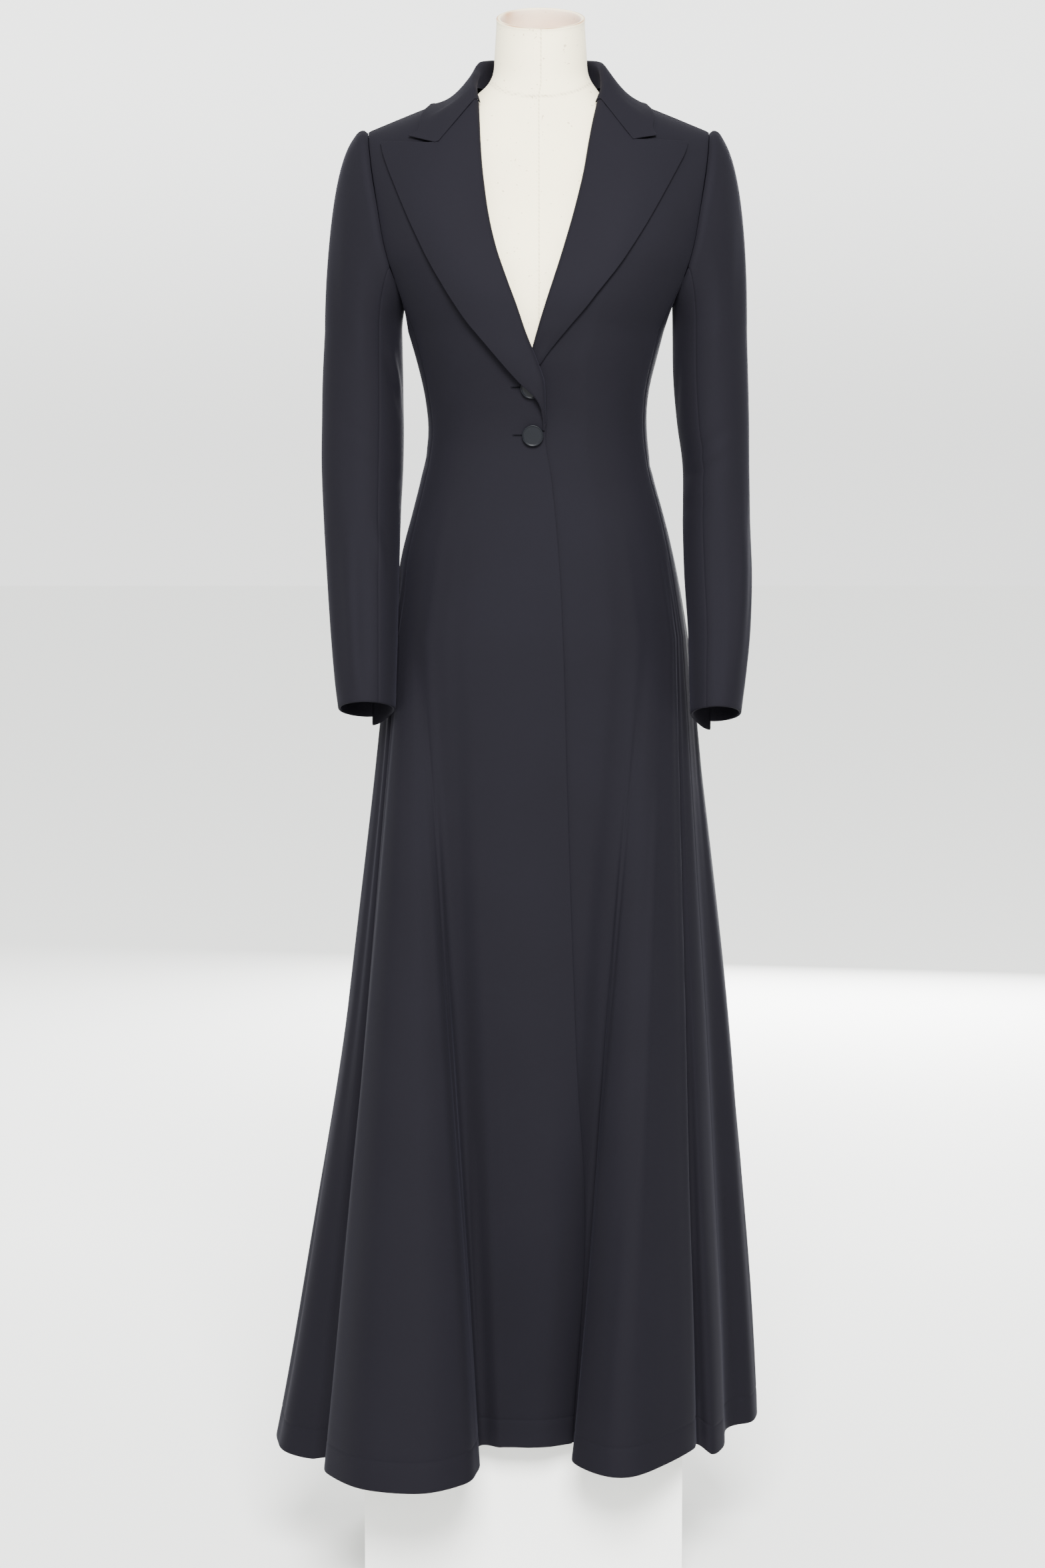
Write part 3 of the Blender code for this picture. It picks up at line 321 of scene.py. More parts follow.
def closeAtEdges(grid, columns, edges=(0.0007, 0.0018, 0.0036)):
    # The same cloth with close columns beside both edges, for pressed seams and turned edges
    rows = []
    for line in grid:
        length = lengthAlong(line)
        total = length[-1]
        near = np.concatenate([[0], edges]) * min(1, total / 0.03)
        even = np.linspace(near[-1], total - near[-1], columns - 2 * len(edges) + 1)[1:-1]
        at = np.concatenate([near, even, total - near[::-1]])
        flow = np.interp(np.linspace(0, 1, len(at)), np.linspace(0, 1, len(length)), length)
        # Keep the fold columns where they were, and only draw the outer ones to the edges
        keep = np.minimum(1, np.minimum(np.arange(len(at)), np.arange(len(at))[::-1]) / 8)
        at = np.where(keep < 1, at * (1 - keep) + flow * keep, flow)
        at[:len(near)] = near
        at[-len(near):] = total - near[::-1]
        at = np.maximum.accumulate(at)
        rows.append(smooth(np.column_stack([length, line]), at))
    return np.array(rows)


# Each edge of a grid, and the row or column beside it
gridEdges = {"first": (np.s_[:, 0], np.s_[:, 1]), "last": (np.s_[:, -1], np.s_[:, -2]),
             "bottom": (np.s_[0], np.s_[1]), "top": (np.s_[-1], np.s_[-2])}


def trim(grid, sides):
    # Draws an edge of a grid back by the seam gap
    for side in sides:
        edge, beside = gridEdges[side]
        step = grid[beside][..., :3] - grid[edge][..., :3]
        grid[edge][..., :3] += coatCut["seamGap"] * step / np.linalg.norm(step, axis=-1)[..., None]


def normals(grid):
    up = np.gradient(grid[..., :3], axis=0)
    across = np.gradient(grid[..., :3], axis=1)
    normal = np.cross(across, up)
    return normal / np.maximum(np.linalg.norm(normal, axis=2), 1e-12)[:, :, None]


def upTheArmhole(corner, side, seamTurn, turns):
    # The outer edge of an upper panel: its seam up to the armhole, then the armhole to the shoulder
    upper, under = coatCut["upperRows"], coatCut["seamRows"]
    return np.vstack([along([corner[:3], armholePoints(side, seamTurn)[0]], under + 1),
                      along(armholePoints(side, turns), upper - under + 1)[1:]])


def shoulderLine(side):
    # From the neck to the tip of the shoulder, a little raised between
    neck = np.array([side * shoulderNeck[0], *shoulderNeck[1:]])
    tip = armholePoints(side, 0)[0]
    return [neck, (tip + neck) / 2 + (0, 0.002, 0.001), tip]


def frontGrid(side):
    lap, main = coatCut["lapColumns"], coatCut["frontColumns"]
    rows = []
    seamColumn = 0 if side < 0 else 2
    hem = coatCut["hemHeight"]
    hemSeam = smooth(seamTable, hem)[seamColumn]
    hemEdge = edgeAngle(hem, 0 if side > 0 else 1)
    parts = spread(hemSeam, hemEdge, main, hem)
    fewParts = spread(hemSeam, hemEdge, 9, hem)
    for height in heights:
        lapEdge, underEdge = edgeAngle(height, 0), edgeAngle(height, 1)
        seam = smooth(seamTable, height)[seamColumn]
        if side < 0:
            start = min(underEdge, lapEdge - 3)
            angles = np.concatenate([seam + (start - seam) * parts, np.linspace(start, lapEdge, lap + 1)[1:]])
            rows.append(coatLine(angles, height))
        else:
            start = max(lapEdge, underEdge + 3) + 1.2
            portion = 1 - parts[::-1]
            angles = np.concatenate([np.linspace(underEdge, start - 1.2, lap + 1),
                                     start + (seam - start) * portion])
            points = coatLine(angles, height)
            out = normals(np.array([points, points + (0, 0, 0.01, 0, 0)]))[0]
            depth = coatCut["lapDepth"] + ((coatCut["lapDepthAtRoll"] - coatCut["lapDepth"])
                                           * ease((height - coatCut["rollStart"]) / coatCut["rollRun"]))
            depth *= 1 - 0.5 * ease((height - coatCut["lapEnd"]) / coatCut["lapEndRun"])
            back = np.interp(portion, 1 - fewParts[::-1], np.arange(10))
            back = np.concatenate([np.zeros(lap + 1), back])
            points[:, :3] -= out * (depth * (1 - ease(back / 2)))[:, None]
            rows.append(points)
    bottom = np.array(rows[-1])
    seamPoint, rollPoint = (bottom[0], bottom[-1]) if side < 0 else (bottom[-1], bottom[0])
    armhole = (128, 112, 95, 78, 60, 45, 30, 15, 0)
    outer = upTheArmhole(seamPoint, side, frontSeamTurn, armhole)
    shoulder = shoulderLine(side)
    inner = along([rollPoint[:3], *rollLine[side], shoulder[0]], coatCut["upperRows"] + 1)
    steps = spanOf(bottom)
    top = alongAt(shoulder[::-1] if side < 0 else shoulder, steps)
    left, right = (outer, inner) if side < 0 else (inner, outer)
    patch = patchBetween(left, right, bottom, top, coatCut["frontBend"])
    patch[..., 1] -= coatCut["frontSwell"] * bulge(len(patch), steps)
    return closeAtEdges(np.array(rows + list(patch[1:])), main + lap)


def sideGrid(side):
    count = coatCut["sideColumns"]
    first, last = (1, 0) if side < 0 else (2, 3)
    hem = smooth(seamTable, coatCut["hemHeight"])
    parts = spread(hem[first], hem[last], count, coatCut["hemHeight"])
    rows = []
    for height in heights:
        seams = smooth(seamTable, height)
        rows.append(coatLine(seams[first] + (seams[last] - seams[first]) * parts, height))
    turns = np.linspace(frontSeamTurn, backSeamTurn, 9)
    arm = along(armholePoints(side, turns if side > 0 else turns[::-1]), 120)
    top = alongAt(arm, spanOf(rows[-1]))
    top = np.column_stack([top, rows[-1][:, 3], top[:, 2]])
    steps = np.linspace(0, 1, coatCut["seamRows"] + 1)[1:]
    rows += [rows[len(heights) - 1] * (1 - part) + top * part for part in steps]
    return closeAtEdges(np.array(rows), count)


def backGrid(side):
    count, neckCount = coatCut["backColumns"], 16
    rows = []
    column = 1 if side < 0 else 3
    start = side * 180.0
    parts = spread(start, smooth(seamTable, coatCut["hemHeight"])[column], count, coatCut["hemHeight"])
    for height in heights:
        seam = smooth(seamTable, height)[column]
        rows.append(coatLine(start + (seam - start) * parts, height))
    bottom = np.array(rows[-1])
    inner = along([bottom[0, :3], *[(0.0, y, z) for y, z in centreBack], nape], coatCut["upperRows"] + 1)
    armhole = (232, 248, 265, 282, 300, 315, 330, 345, 360)
    outer = upTheArmhole(bottom[-1], side, backSeamTurn, armhole)
    shoulder = shoulderLine(side)
    neck = shoulder[0]
    turn = np.linspace(0, math.pi / 2, neckCount + 1)
    neckline = np.column_stack([neck[0] * np.sin(turn), neck[1] + (nape[1] - neck[1]) * np.cos(turn),
                                nape[2] + (neck[2] - nape[2]) * np.sin(turn)])
    top = np.vstack([neckline, along(shoulder, count - neckCount + 1)[1:]])
    patch = patchBetween(inner, outer, bottom, top, coatCut["backBend"])
    patch[..., 1] += coatCut["backSwell"] * bulge(len(patch), spanOf(bottom))
    grid = closeAtEdges(np.array(rows + list(patch[1:])), count)
    return grid[:, ::-1].copy() if side > 0 else grid


def creaseMove(across, height, creases, metresPerDegree):
    # How far each point moves along its normal for a list of soft creases
    move = np.zeros(across.shape)
    for turnA, heightA, turnB, heightB, width, depth in creases:
        scale = metresPerDegree((heightA + heightB) / 2)
        du = ((across - turnA + 180) % 360 - 180) * scale
        dv = height - heightA
        runU, runV = (turnB - turnA) * scale, heightB - heightA
        run = runU ** 2 + runV ** 2
        part = np.clip((du * runU + dv * runV) / run, 0, 1)
        away = np.hypot(du - part * runU, dv - part * runV)
        strength = np.sin(math.pi * np.clip(0.04 + 0.92 * part, 0, 1)) ** 0.7
        move += depth * strength * np.exp(-(away / width) ** 2)
    return move


def bodyScale(height):
    # Metres of cloth to a degree: even in the bodice, wider toward the hem
    hip, hem = coatCut["hipHeight"], coatCut["hemHeight"]
    return 0.0024 + 0.0068 * np.clip((hip - height) / (hip - hem), 0, 1)


def waviness(grid, size, depth, seed):
    # Slow unevenness of hanging cloth, the same on both sides of a seam
    flat = grid[..., :3].reshape(-1, 3)
    values = [noise.noise(Vector((x / size + seed, y / size, z / size / 2.2))) for x, y, z in flat]
    return depth * np.array(values).reshape(grid.shape[:2])


def edgeMask(grid, side):
    # Distance in from one edge of a grid
    upright = side in ("first", "last")
    lines = grid if upright else grid.transpose(1, 0, 2)
    order = slice(None, None, 1 if side in ("first", "bottom") else -1)
    away = np.array([lengthAlong(line) for line in lines[:, order]])[:, order]
    return away if upright else away.T


def pressSeams(grid, sides):
    # The cloth rolls in at a seam
    move = np.zeros(grid.shape[:2])
    for side in sides:
        move -= coatCut["seamDip"] * np.exp(-edgeMask(grid, side) / coatCut["seamRoll"])
    return move


sharpDegrees = 65


def addMesh(name, verts, faces, uvs, finish):
    mesh = bpy.data.meshes.new(name)
    mesh.from_pydata([tuple(v) for v in verts], [], faces)
    if uvs is not None:
        layer = mesh.uv_layers.new(name="cloth")
        corners = np.zeros(len(mesh.loops), int)
        mesh.loops.foreach_get("vertex_index", corners)
        layer.data.foreach_set("uv", np.asarray(uvs, float)[corners].ravel())
    work = bmesh.new()
    work.from_mesh(mesh)
    bmesh.ops.recalc_face_normals(work, faces=work.faces)
    work.to_mesh(mesh)
    work.free()
    mesh.shade_smooth()
    mesh.set_sharp_from_angle(angle=math.radians(sharpDegrees))
    mesh.materials.append(finish)
    made = bpy.data.objects.new(name, mesh)
    bpy.context.scene.collection.objects.link(made)
    return made


def clothShell(name, grid, facing, wall, finish, free):
    # A cloth piece: outer face, inner face one wall in, round free edges and cut seam edges
    grid = grid[..., :3].copy()
    grid[..., 0] += coatCut["shift"]
    rows, columns = grid.shape[:2]
    wall = np.broadcast_to(wall, (rows, columns))
    inner = grid - facing * wall[..., None]
    u = np.array([lengthAlong(line) for line in grid])
    u = u - u[:, columns // 2][:, None]
    v = np.array([lengthAlong(line) for line in grid.transpose(1, 0, 2)]).T
    uv = np.stack([u, v], axis=2).reshape(-1, 2)
    base = rows * columns
    faces = []
    for i in range(rows - 1):
        for j in range(columns - 1):
            a, b = i * columns + j, i * columns + j + 1
            c, d = b + columns, a + columns
            faces += [(a, b, c, d), (base + d, base + c, base + b, base + a)]
    loop = ([(0, j) for j in range(columns)] + [(i, columns - 1) for i in range(1, rows)]
            + [(rows - 1, j) for j in range(columns - 2, -1, -1)] + [(i, 0) for i in range(rows - 2, 0, -1)])
    outward = np.zeros((rows, columns, 3))
    for side in free:
        edge, beside = gridEdges[side]
        step = grid[edge] - grid[beside]
        outward[edge] += step / np.maximum(np.linalg.norm(step, axis=-1), 1e-9)[..., None]
    size = np.linalg.norm(outward, axis=2)
    outward = outward / np.maximum(size, 1)[..., None]
    verts = [grid.reshape(-1, 3), inner.reshape(-1, 3)]
    uvs = [uv, uv]
    at = np.array([i * columns + j for i, j in loop])
    outerLoop, innerLoop = grid.reshape(-1, 3)[at], inner.reshape(-1, 3)[at]
    outLoop = outward.reshape(-1, 3)[at]
    half = wall.reshape(-1)[at][:, None] / 2
    starts = [at]
    count = 2 * base
    for degrees in (45, 90, 135):
        lean = math.radians(degrees)
        part = (1 - math.cos(lean)) / 2
        verts.append(outerLoop * (1 - part) + innerLoop * part + outLoop * half * math.sin(lean))
        uvs.append(uv[at])
        starts.append(count + np.arange(len(at)))
        count += len(at)
    starts.append(base + at)
    for upper, lower in zip(starts[:-1], starts[1:]):
        for k in range(len(at)):
            n = (k + 1) % len(at)
            faces.append((int(upper[n]), int(upper[k]), int(lower[k]), int(lower[n])))
    return addMesh(name, np.vstack(verts), faces, np.vstack(uvs), finish)


class Wire:
    # A node socket that Python's operators work on
    def __init__(self, paint, socket):
        self.paint, self.socket = paint, socket

    def math(self, operation, first, second=0.0):
        return self.paint.add("ShaderNodeMath", {"operation": operation}, {0: first, 1: second})

    def __add__(self, other):
        return self.math("ADD", self, other)

    def __radd__(self, other):
        return self.math("ADD", other, self)

    def __sub__(self, other):
        return self.math("SUBTRACT", self, other)

    def __rsub__(self, other):
        return self.math("SUBTRACT", other, self)

    def __mul__(self, other):
        return self.math("MULTIPLY", self, other)

    def __rmul__(self, other):
        return self.math("MULTIPLY", other, self)

    def __lt__(self, other):
        return self.math("LESS_THAN", self, other)

    def __gt__(self, other):
        return self.math("GREATER_THAN", self, other)

    def __abs__(self):
        return self.math("ABSOLUTE", self)


class Nodes:
    # A node tree that takes new nodes, with wires or constants in their sockets
    def __init__(self, tree):
        self.nodes, self.links = tree.nodes, tree.links

    def add(self, kind, settings, sockets, out=0):
        node = self.nodes.new(kind)
        for setting, value in settings.items():
            setattr(node, setting, value)
        for socket, value in sockets.items():
            if isinstance(value, Wire):
                self.links.new(value.socket, node.inputs[socket])
            else:
                node.inputs[socket].default_value = value
        return Wire(self, node.outputs[out])

    def blend(self, factor, first, second):
        first, second = (end if isinstance(end, Wire) else (*end, 1) for end in (first, second))
        return self.add("ShaderNodeMix", {"data_type": "RGBA"}, {0: factor, 6: first, 7: second}, 2)


class Paint(Nodes):
    # A material whose shader has fixed values and some fed sockets
    def __init__(self, name, **fixed):
        self.material = bpy.data.materials.new(name)
        self.material.use_nodes = True
        super().__init__(self.material.node_tree)
        self.shader = self.nodes["Principled BSDF"]
        for socket, value in fixed.items():
            self.shader.inputs[socket.replace("_", " ")].default_value = value

    def feed(self, socket, wire):
        self.links.new(wire.socket, self.shader.inputs[socket])

    def relief(self, height, strength, distance):
        self.feed("Normal", self.add("ShaderNodeBump", {}, {"Strength": strength, "Distance": distance,
                                                            "Height": height}))


def partsOf(nodes, place):
    # x, y and z of a vector
    x = nodes.add("ShaderNodeSeparateXYZ", {}, {0: place})
    return [Wire(nodes, socket) for socket in x.socket.node.outputs]


def grainOf(nodes, place, scale, detail):
    # Cloudy noise
    return nodes.add("ShaderNodeTexNoise", {}, {"Vector": place, "Scale": scale, "Detail": detail})


def rippleOf(nodes, distance, length):
    # A sine wave of the given length
    return nodes.add("ShaderNodeMath", {"operation": "SINE"}, {0: distance * (2 * math.pi / length)})


woolLook = {
    "dark": (0.0041, 0.0038, 0.0053),
    "light": (0.0063, 0.0059, 0.0082),
    "roughness": 0.80,
    "waleWidth": 0.0011, "waleSlope": 1.35,     # the twill's slanting ribs
    "stitchLength": 0.0058, "stitchDepth": 4.0,    # of the blind stitches along the hem
}


def woolPaint(name, hemLine):
    paint = Paint(name, Sheen_Weight=0.015, Sheen_Roughness=0.45, Sheen_Tint=(0.66, 0.64, 0.90, 1),
                  Specular_IOR_Level=0.03)
    place = paint.add("ShaderNodeTexCoord", {}, {}, "UV")
    acrossCloth, upCloth, _ = partsOf(paint, place)
    twill = rippleOf(paint, acrossCloth + upCloth * woolLook["waleSlope"], woolLook["waleWidth"])
    slub = grainOf(paint, place, 900.0, 3.0)
    patch = grainOf(paint, place, 9.0, 4.0)
    shade = twill * 0.14 + slub * 0.9 + patch * 0.5 - 0.2
    paint.feed("Base Color", paint.blend(shade, woolLook["dark"], woolLook["light"]))
    paint.feed("Roughness", slub * 0.10 + patch * 0.08 + (woolLook["roughness"] - 0.09))
    height = twill * 0.35 + slub
    if hemLine:
        offLine = abs(upCloth - coatCut["hemTurnUp"])
        dash = rippleOf(paint, acrossCloth, woolLook["stitchLength"])
        height = height - (offLine < 0.0006) * (dash > 0.1) * woolLook["stitchDepth"]
    paint.relief(height, 0.30, 0.00012)
    return paint.material


wool = woolPaint("navyWoolTwill", False)
woolHemmed = woolPaint("navyWoolHemmed", True)

thread = Paint("buttonholeThread", Base_Color=(0.0034, 0.0033, 0.0050, 1), Roughness=0.60,
               Specular_IOR_Level=0.06).material
# A near-black strip laid in each buttonhole is painted shade, standing in for the dark opening
slitPaintedShade = Paint("buttonholeSlitPaintedShade", Base_Color=(0.0008, 0.0008, 0.0012, 1), Roughness=0.90,
             Specular_IOR_Level=0.02).material


def satinPaint():
    paint = Paint("buttonSatin", Specular_IOR_Level=0.10)
    place = paint.add("ShaderNodeTexCoord", {}, {}, "Object")
    grain = grainOf(paint, place, 1400.0, 2.0)
    paint.feed("Base Color", paint.blend(grain, (0.0026, 0.0030, 0.0042), (0.0040, 0.0046, 0.0064)))
    paint.feed("Roughness", grain * 0.08 + 0.30)
    paint.relief(grain, 0.15, 0.00008)
    return paint.material


satin = satinPaint()

linenLook = {
    "pale": (0.78, 0.71, 0.49),
    "warm": (0.69, 0.61, 0.43),
    "rim": (0.36, 0.20, 0.10),
    "seam": (0.34, 0.28, 0.19),
    "hollow": (0.50, 0.37, 0.29),
    "speck": (0.30, 0.22, 0.14),
    "threadWidth": 0.0009, "stitchLength": 0.0046,
}


def linenPaint():
    # The mesh carries three attributes: the rim's wear, the sewn lines and where the hollow is painted darker
    # and browner
    paint = Paint("formLinen", Specular_IOR_Level=0.25, Sheen_Weight=0.15, Sheen_Roughness=0.5)
    place = paint.add("ShaderNodeTexCoord", {}, {}, "Object")
    across, _, up = partsOf(paint, place)
    warp, weft = (rippleOf(paint, distance, linenLook["threadWidth"]) for distance in (across, up))
    slub = grainOf(paint, place, 420.0, 3.0)
    stain = grainOf(paint, place, 14.0, 5.0)
    speck = grainOf(paint, place, 260.0, 1.0)
    wear, sewn, hollowDarkerMask = (paint.add("ShaderNodeAttribute", {"attribute_name": label}, {}, "Fac")
                          for label in ("rimWear", "sewnLine", "hollowDarker"))
    colour = paint.blend(stain * 1.5 - 0.35, linenLook["pale"], linenLook["warm"])
    # Inside the neck's hollow the colour is painted darker and browner
    colour = paint.blend(hollowDarkerMask * (stain * 0.6 + 0.6), colour, linenLook["hollow"])
    stitch = rippleOf(paint, up + across, linenLook["stitchLength"])
    colour = paint.blend(sewn * ((stitch > 0.0) * 0.45 + 0.25), colour, linenLook["seam"])
    colour = paint.blend(wear * (stain + 0.65), colour, linenLook["rim"])
    colour = paint.blend((speck > 0.735) * 0.6, colour, linenLook["speck"])
    paint.feed("Base Color", colour)
    paint.feed("Roughness", slub * 0.15 + 0.78)
    paint.relief(warp * weft * 0.4 + slub - sewn * 0.8, 0.25, 0.00020)
    return paint.material


linen = linenPaint()


def whitePaint():
    paint = Paint("whiteBoard", Specular_IOR_Level=0.35)
    place = paint.add("ShaderNodeTexCoord", {}, {}, "Object")
    roll = grainOf(paint, place, 240.0, 3.0)
    scuff = grainOf(paint, place, 7.0, 5.0)
    paint.feed("Base Color", paint.blend(scuff * 1.2 - 0.3, (0.82, 0.82, 0.80), (0.76, 0.76, 0.73)))
    paint.feed("Roughness", scuff * 0.2 + 0.45)
    paint.relief(roll, 0.12, 0.0004)
    return paint.material


white = whitePaint()


def steelPaint():
    paint = Paint("brushedSteel", Metallic=1.0)
    place = paint.add("ShaderNodeTexCoord", {}, {}, "Object")
    drawnOut = paint.add("ShaderNodeMapping", {}, {"Vector": place, "Scale": (900.0, 900.0, 6.0)})
    brush = grainOf(paint, drawnOut, 1.0, 2.0)
    paint.feed("Base Color", paint.blend(brush, (0.46, 0.46, 0.47), (0.60, 0.60, 0.61)))
    paint.feed("Roughness", brush * 0.2 + 0.26)
    return paint.material


steel = steelPaint()
print("finishes made")

# Body panels
fronts = {side: frontGrid(side) for side in (-1, 1)}
backs = {side: backGrid(side) for side in (-1, 1)}
panels = {"front_right": fronts[-1], "front_left": fronts[1], "side_right": sideGrid(-1),
          "side_left": sideGrid(1), "back_right": backs[-1], "back_left": backs[1]}
plainFronts = {side: fronts[side].copy() for side in (-1, 1)}


def share(facing, one, oneColumn, other, otherColumn, rows):
    # Both sides of a seam get the same normal, so the cut edges stay parallel
    mean = facing[one][:rows, oneColumn] + facing[other][:rows, otherColumn]
    mean /= np.linalg.norm(mean, axis=1)[:, None]
    facing[one][:rows, oneColumn] = mean
    facing[other][:rows, otherColumn] = mean


def shareBody(facing):
    lower = len(heights) + coatCut["seamRows"]
    share(facing, "front_right", 0, "side_right", -1, lower)
    share(facing, "front_left", -1, "side_left", 0, lower)
    share(facing, "back_right", -1, "side_right", 0, lower)
    share(facing, "back_left", 0, "side_left", -1, lower)
    share(facing, "back_right", 0, "back_left", -1, None)
    for name in panels:
        if name.startswith(("front", "back")):
            side = -1 if name.endswith("right") else 1
            tip = armholePoints(1, 0)[0]
            slope = np.array([side * (tip[2] - shoulderNeck[2]), 0, -(tip[0] - shoulderNeck[0])])
            slope /= -np.linalg.norm(slope)
            onShoulder = np.abs(panels[name][-1, :, 0]) > shoulderNeck[0] - 0.002
            facing[name][-1, onShoulder] = slope
    return facing


facing = shareBody({name: normals(grid) for name, grid in panels.items()})
seamSides = {"front_right": ["first"], "front_left": ["last"], "side_right": ["first", "last"],
             "side_left": ["first", "last"], "back_right": ["first", "last"], "back_left": ["first", "last"]}
openSides = {"front_right": "last", "front_left": "first"}
for name, grid in panels.items():
    move = creaseMove(grid[..., 3], grid[..., 4], bodyCreases, bodyScale)
    loose = coatCut["bodiceLoose"]
    loose = loose + (1 - loose) * ease((coatCut["hipHeight"] - grid[..., 4]) / coatCut["looseRun"])
    move += waviness(grid, *coatCut["bodyWaves"]) * loose
    if name.startswith("front"):
        # Calm where the fronts lap, the lapels lie and the buttons hold
        top, run = coatCut["plainAbove"]
        move *= ease((edgeMask(grid, openSides[name]) - coatCut["calmEdge"]) / coatCut["calmRun"])
    else:
        top, run = coatCut["plainBackAbove"]
    move *= ease((top - grid[..., 4]) / run)
    move += pressSeams(grid, seamSides[name])
    offLine = grid[..., 4] - coatCut["hemHeight"] - coatCut["hemTurnUp"]
    move -= coatCut["hemLineDepth"] * np.exp(-(offLine / coatCut["hemLineWidth"]) ** 2)
    grid[..., :3] += facing[name] * move[..., None]
print("body panels shaped")

# Each panel, drawn back at its seams and built as a shell of cloth
built = {}
for name, grid in panels.items():
    trim(grid, seamSides[name] + ([] if name.startswith("side") else ["top"]))
    free = ["bottom"] + [side for panel, side in openSides.items() if panel == name]
    built[name] = clothShell("cloth_" + name, grid, facing[name], coatCut["wall"], woolHemmed, free)

# Rows of each lapel: z of the roll line, x and z of the outer edge, how far that edge stands
# off the front, and how high the roll rises
lapelTables = {
    -1: [(1.2900, 0.0056, 1.2900, 0.0022, 0.0012), (1.300, 0.0040, 1.3035, 0.0050, 0.0038),
         (1.309, 0.0020, 1.3155, 0.0078, 0.0066), (1.319, -0.0035, 1.3262, 0.0100, 0.0090),
         (1.331, -0.0120, 1.3345, 0.0108, 0.0100), (1.344, -0.0240, 1.3465, 0.0110, 0.0098),
         (1.362, -0.0400, 1.3665, 0.0112, 0.0075), (1.393, -0.0610, 1.3905, 0.0110, 0.0058),
         (1.424, -0.0850, 1.4215, 0.0092, 0.0048), (1.455, -0.1080, 1.4570, 0.0070, 0.0046),
         (1.486, -0.1270, 1.4900, 0.0054, 0.0046), (1.523, -0.1440, 1.5275, 0.0046, 0.0046),
         (1.568, -0.1610, 1.5680, 0.0042, 0.0046), (1.600, -0.1685, 1.5885, 0.0043, 0.0050),
         (1.626, -0.1706, 1.5970, 0.0043, 0.0052), (1.648, -0.1724, 1.6030, 0.0043, 0.0050)],
    1: [(1.364, 0.0010, 1.3610, 0.0028, 0.0027), (1.376, 0.0140, 1.3800, 0.0036, 0.0028),
        (1.394, 0.0330, 1.4025, 0.0052, 0.0042), (1.414, 0.0495, 1.4225, 0.0064, 0.0044),
        (1.440, 0.0700, 1.4460, 0.0066, 0.0046), (1.470, 0.0940, 1.4790, 0.0054, 0.0046),
        (1.500, 0.1130, 1.5080, 0.0046, 0.0046), (1.530, 0.1285, 1.5350, 0.0042, 0.0046),
        (1.568, 0.1450, 1.5655, 0.0042, 0.0046), (1.600, 0.1560, 1.5860, 0.0043, 0.0050),
        (1.626, 0.1595, 1.5945, 0.0043, 0.0052), (1.648, 0.1618, 1.6030, 0.0043, 0.0050)],
}
notch = {-1: (-0.1096, 1.598), 1: (0.1012, 1.602)}
lapelWrap = [(-0.0034, -0.0018), (-0.0029, 0.45), (-0.0003, 0.88)]
lapelParts = (0, 0.15, 0.3, 0.45, 0.6, 0.73, 0.87, 1.0)
notchPart = 0.6
notchDrops = {-3: 0.019, -2: 0.010}      # by row, counted from the last
lapelFine = {"rowsPerStep": 6, "columnsPerStep": 4, "evening": 24}


def surfaceOf(grid):
    rows, columns = grid.shape[:2]
    quads = [(i * columns + j, i * columns + j + 1, (i + 1) * columns + j + 1, (i + 1) * columns + j)
             for i in range(rows - 1) for j in range(columns - 1)]
    return BVHTree.FromPolygons([Vector(p) for p in grid[..., :3].reshape(-1, 3)], quads)


def onFront(surface, x, z):
    hit, normal, _, _ = surface.ray_cast(Vector((x, -1.0, z)), Vector((0, 1, 0)))
    if hit is None:
        hit, normal, _, _ = surface.find_nearest(Vector((x, -0.08, z)))
    normal = np.array(normal)
    return np.array(hit), normal if normal[1] < 0 or normal[2] > 0 else -normal


def finer(line, perStep, corner=None):
    # More points along a line; past a corner it starts afresh
    def run(points):
        index = np.arange(len(points))
        places = np.linspace(0, len(points) - 1, (len(points) - 1) * perStep + 1)
        return smooth(np.column_stack([index, points]), places)
    line = np.asarray(line, float)
    if corner is None:
        return run(line)
    return np.vstack([run(line[:corner + 1]), run(line[corner:])[1:]])


def lapelRows(side, surface, edge):
    # Control rows: three points wrapped round the fold, then x, z and height over the front
    table = lapelTables[side]
    last = len(table) - 1
    wraps, falls = [], []
    for k, (rollZ, outerX, outerZ, lift, rise) in enumerate(table):
        roll = np.array([np.interp(rollZ, edge[:, 2], edge[:, axis]) for axis in range(3)])
        base, normal = onFront(surface, roll[0] + side * 0.001, rollZ)
        outer, _ = onFront(surface, outerX, outerZ)
        away = outer - base
        away -= normal * away.dot(normal)
        width = np.linalg.norm(away)
        away /= width
        narrow = min(1, width / 0.008)
        reach = min(0.0035, width / 3)
        row = [base + away * (lapelWrap[0][0] * narrow - 0.001) + normal * lapelWrap[0][1] * narrow]
        row += [base + away * (out * narrow - 0.001) + normal * rise * up for out, up in lapelWrap[1:]]
        wraps.append(row)
        bend = float(k > last - 3)
        drop = notchDrops.get(k - len(table), 0.0)
        notchX, notchZ = notch[side][0], notch[side][1] - drop
        fall = []
        for part in lapelParts:
            height = rise + (lift - rise) * part ** 1.2 + 0.0010 * math.sin(math.pi * part) * narrow
            first = reach / width
            spot = first + (1 - first) * part if bend == 0 or part == 0 else part
            x, z = roll[0] + (outerX - roll[0]) * spot, rollZ + (outerZ - rollZ) * spot
            before, past = min(spot / notchPart, 1), max(spot - notchPart, 0) / (1 - notchPart)
            bentX = roll[0] + (notchX - roll[0]) * before + (outerX - notchX) * past
            bentZ = rollZ + (notchZ - rollZ) * before + (outerZ - notchZ) * past
            fall.append((x + (bentX - x) * bend, z + (bentZ - z) * bend, height))
        falls.append(fall)
    return np.array(wraps), np.array(falls)


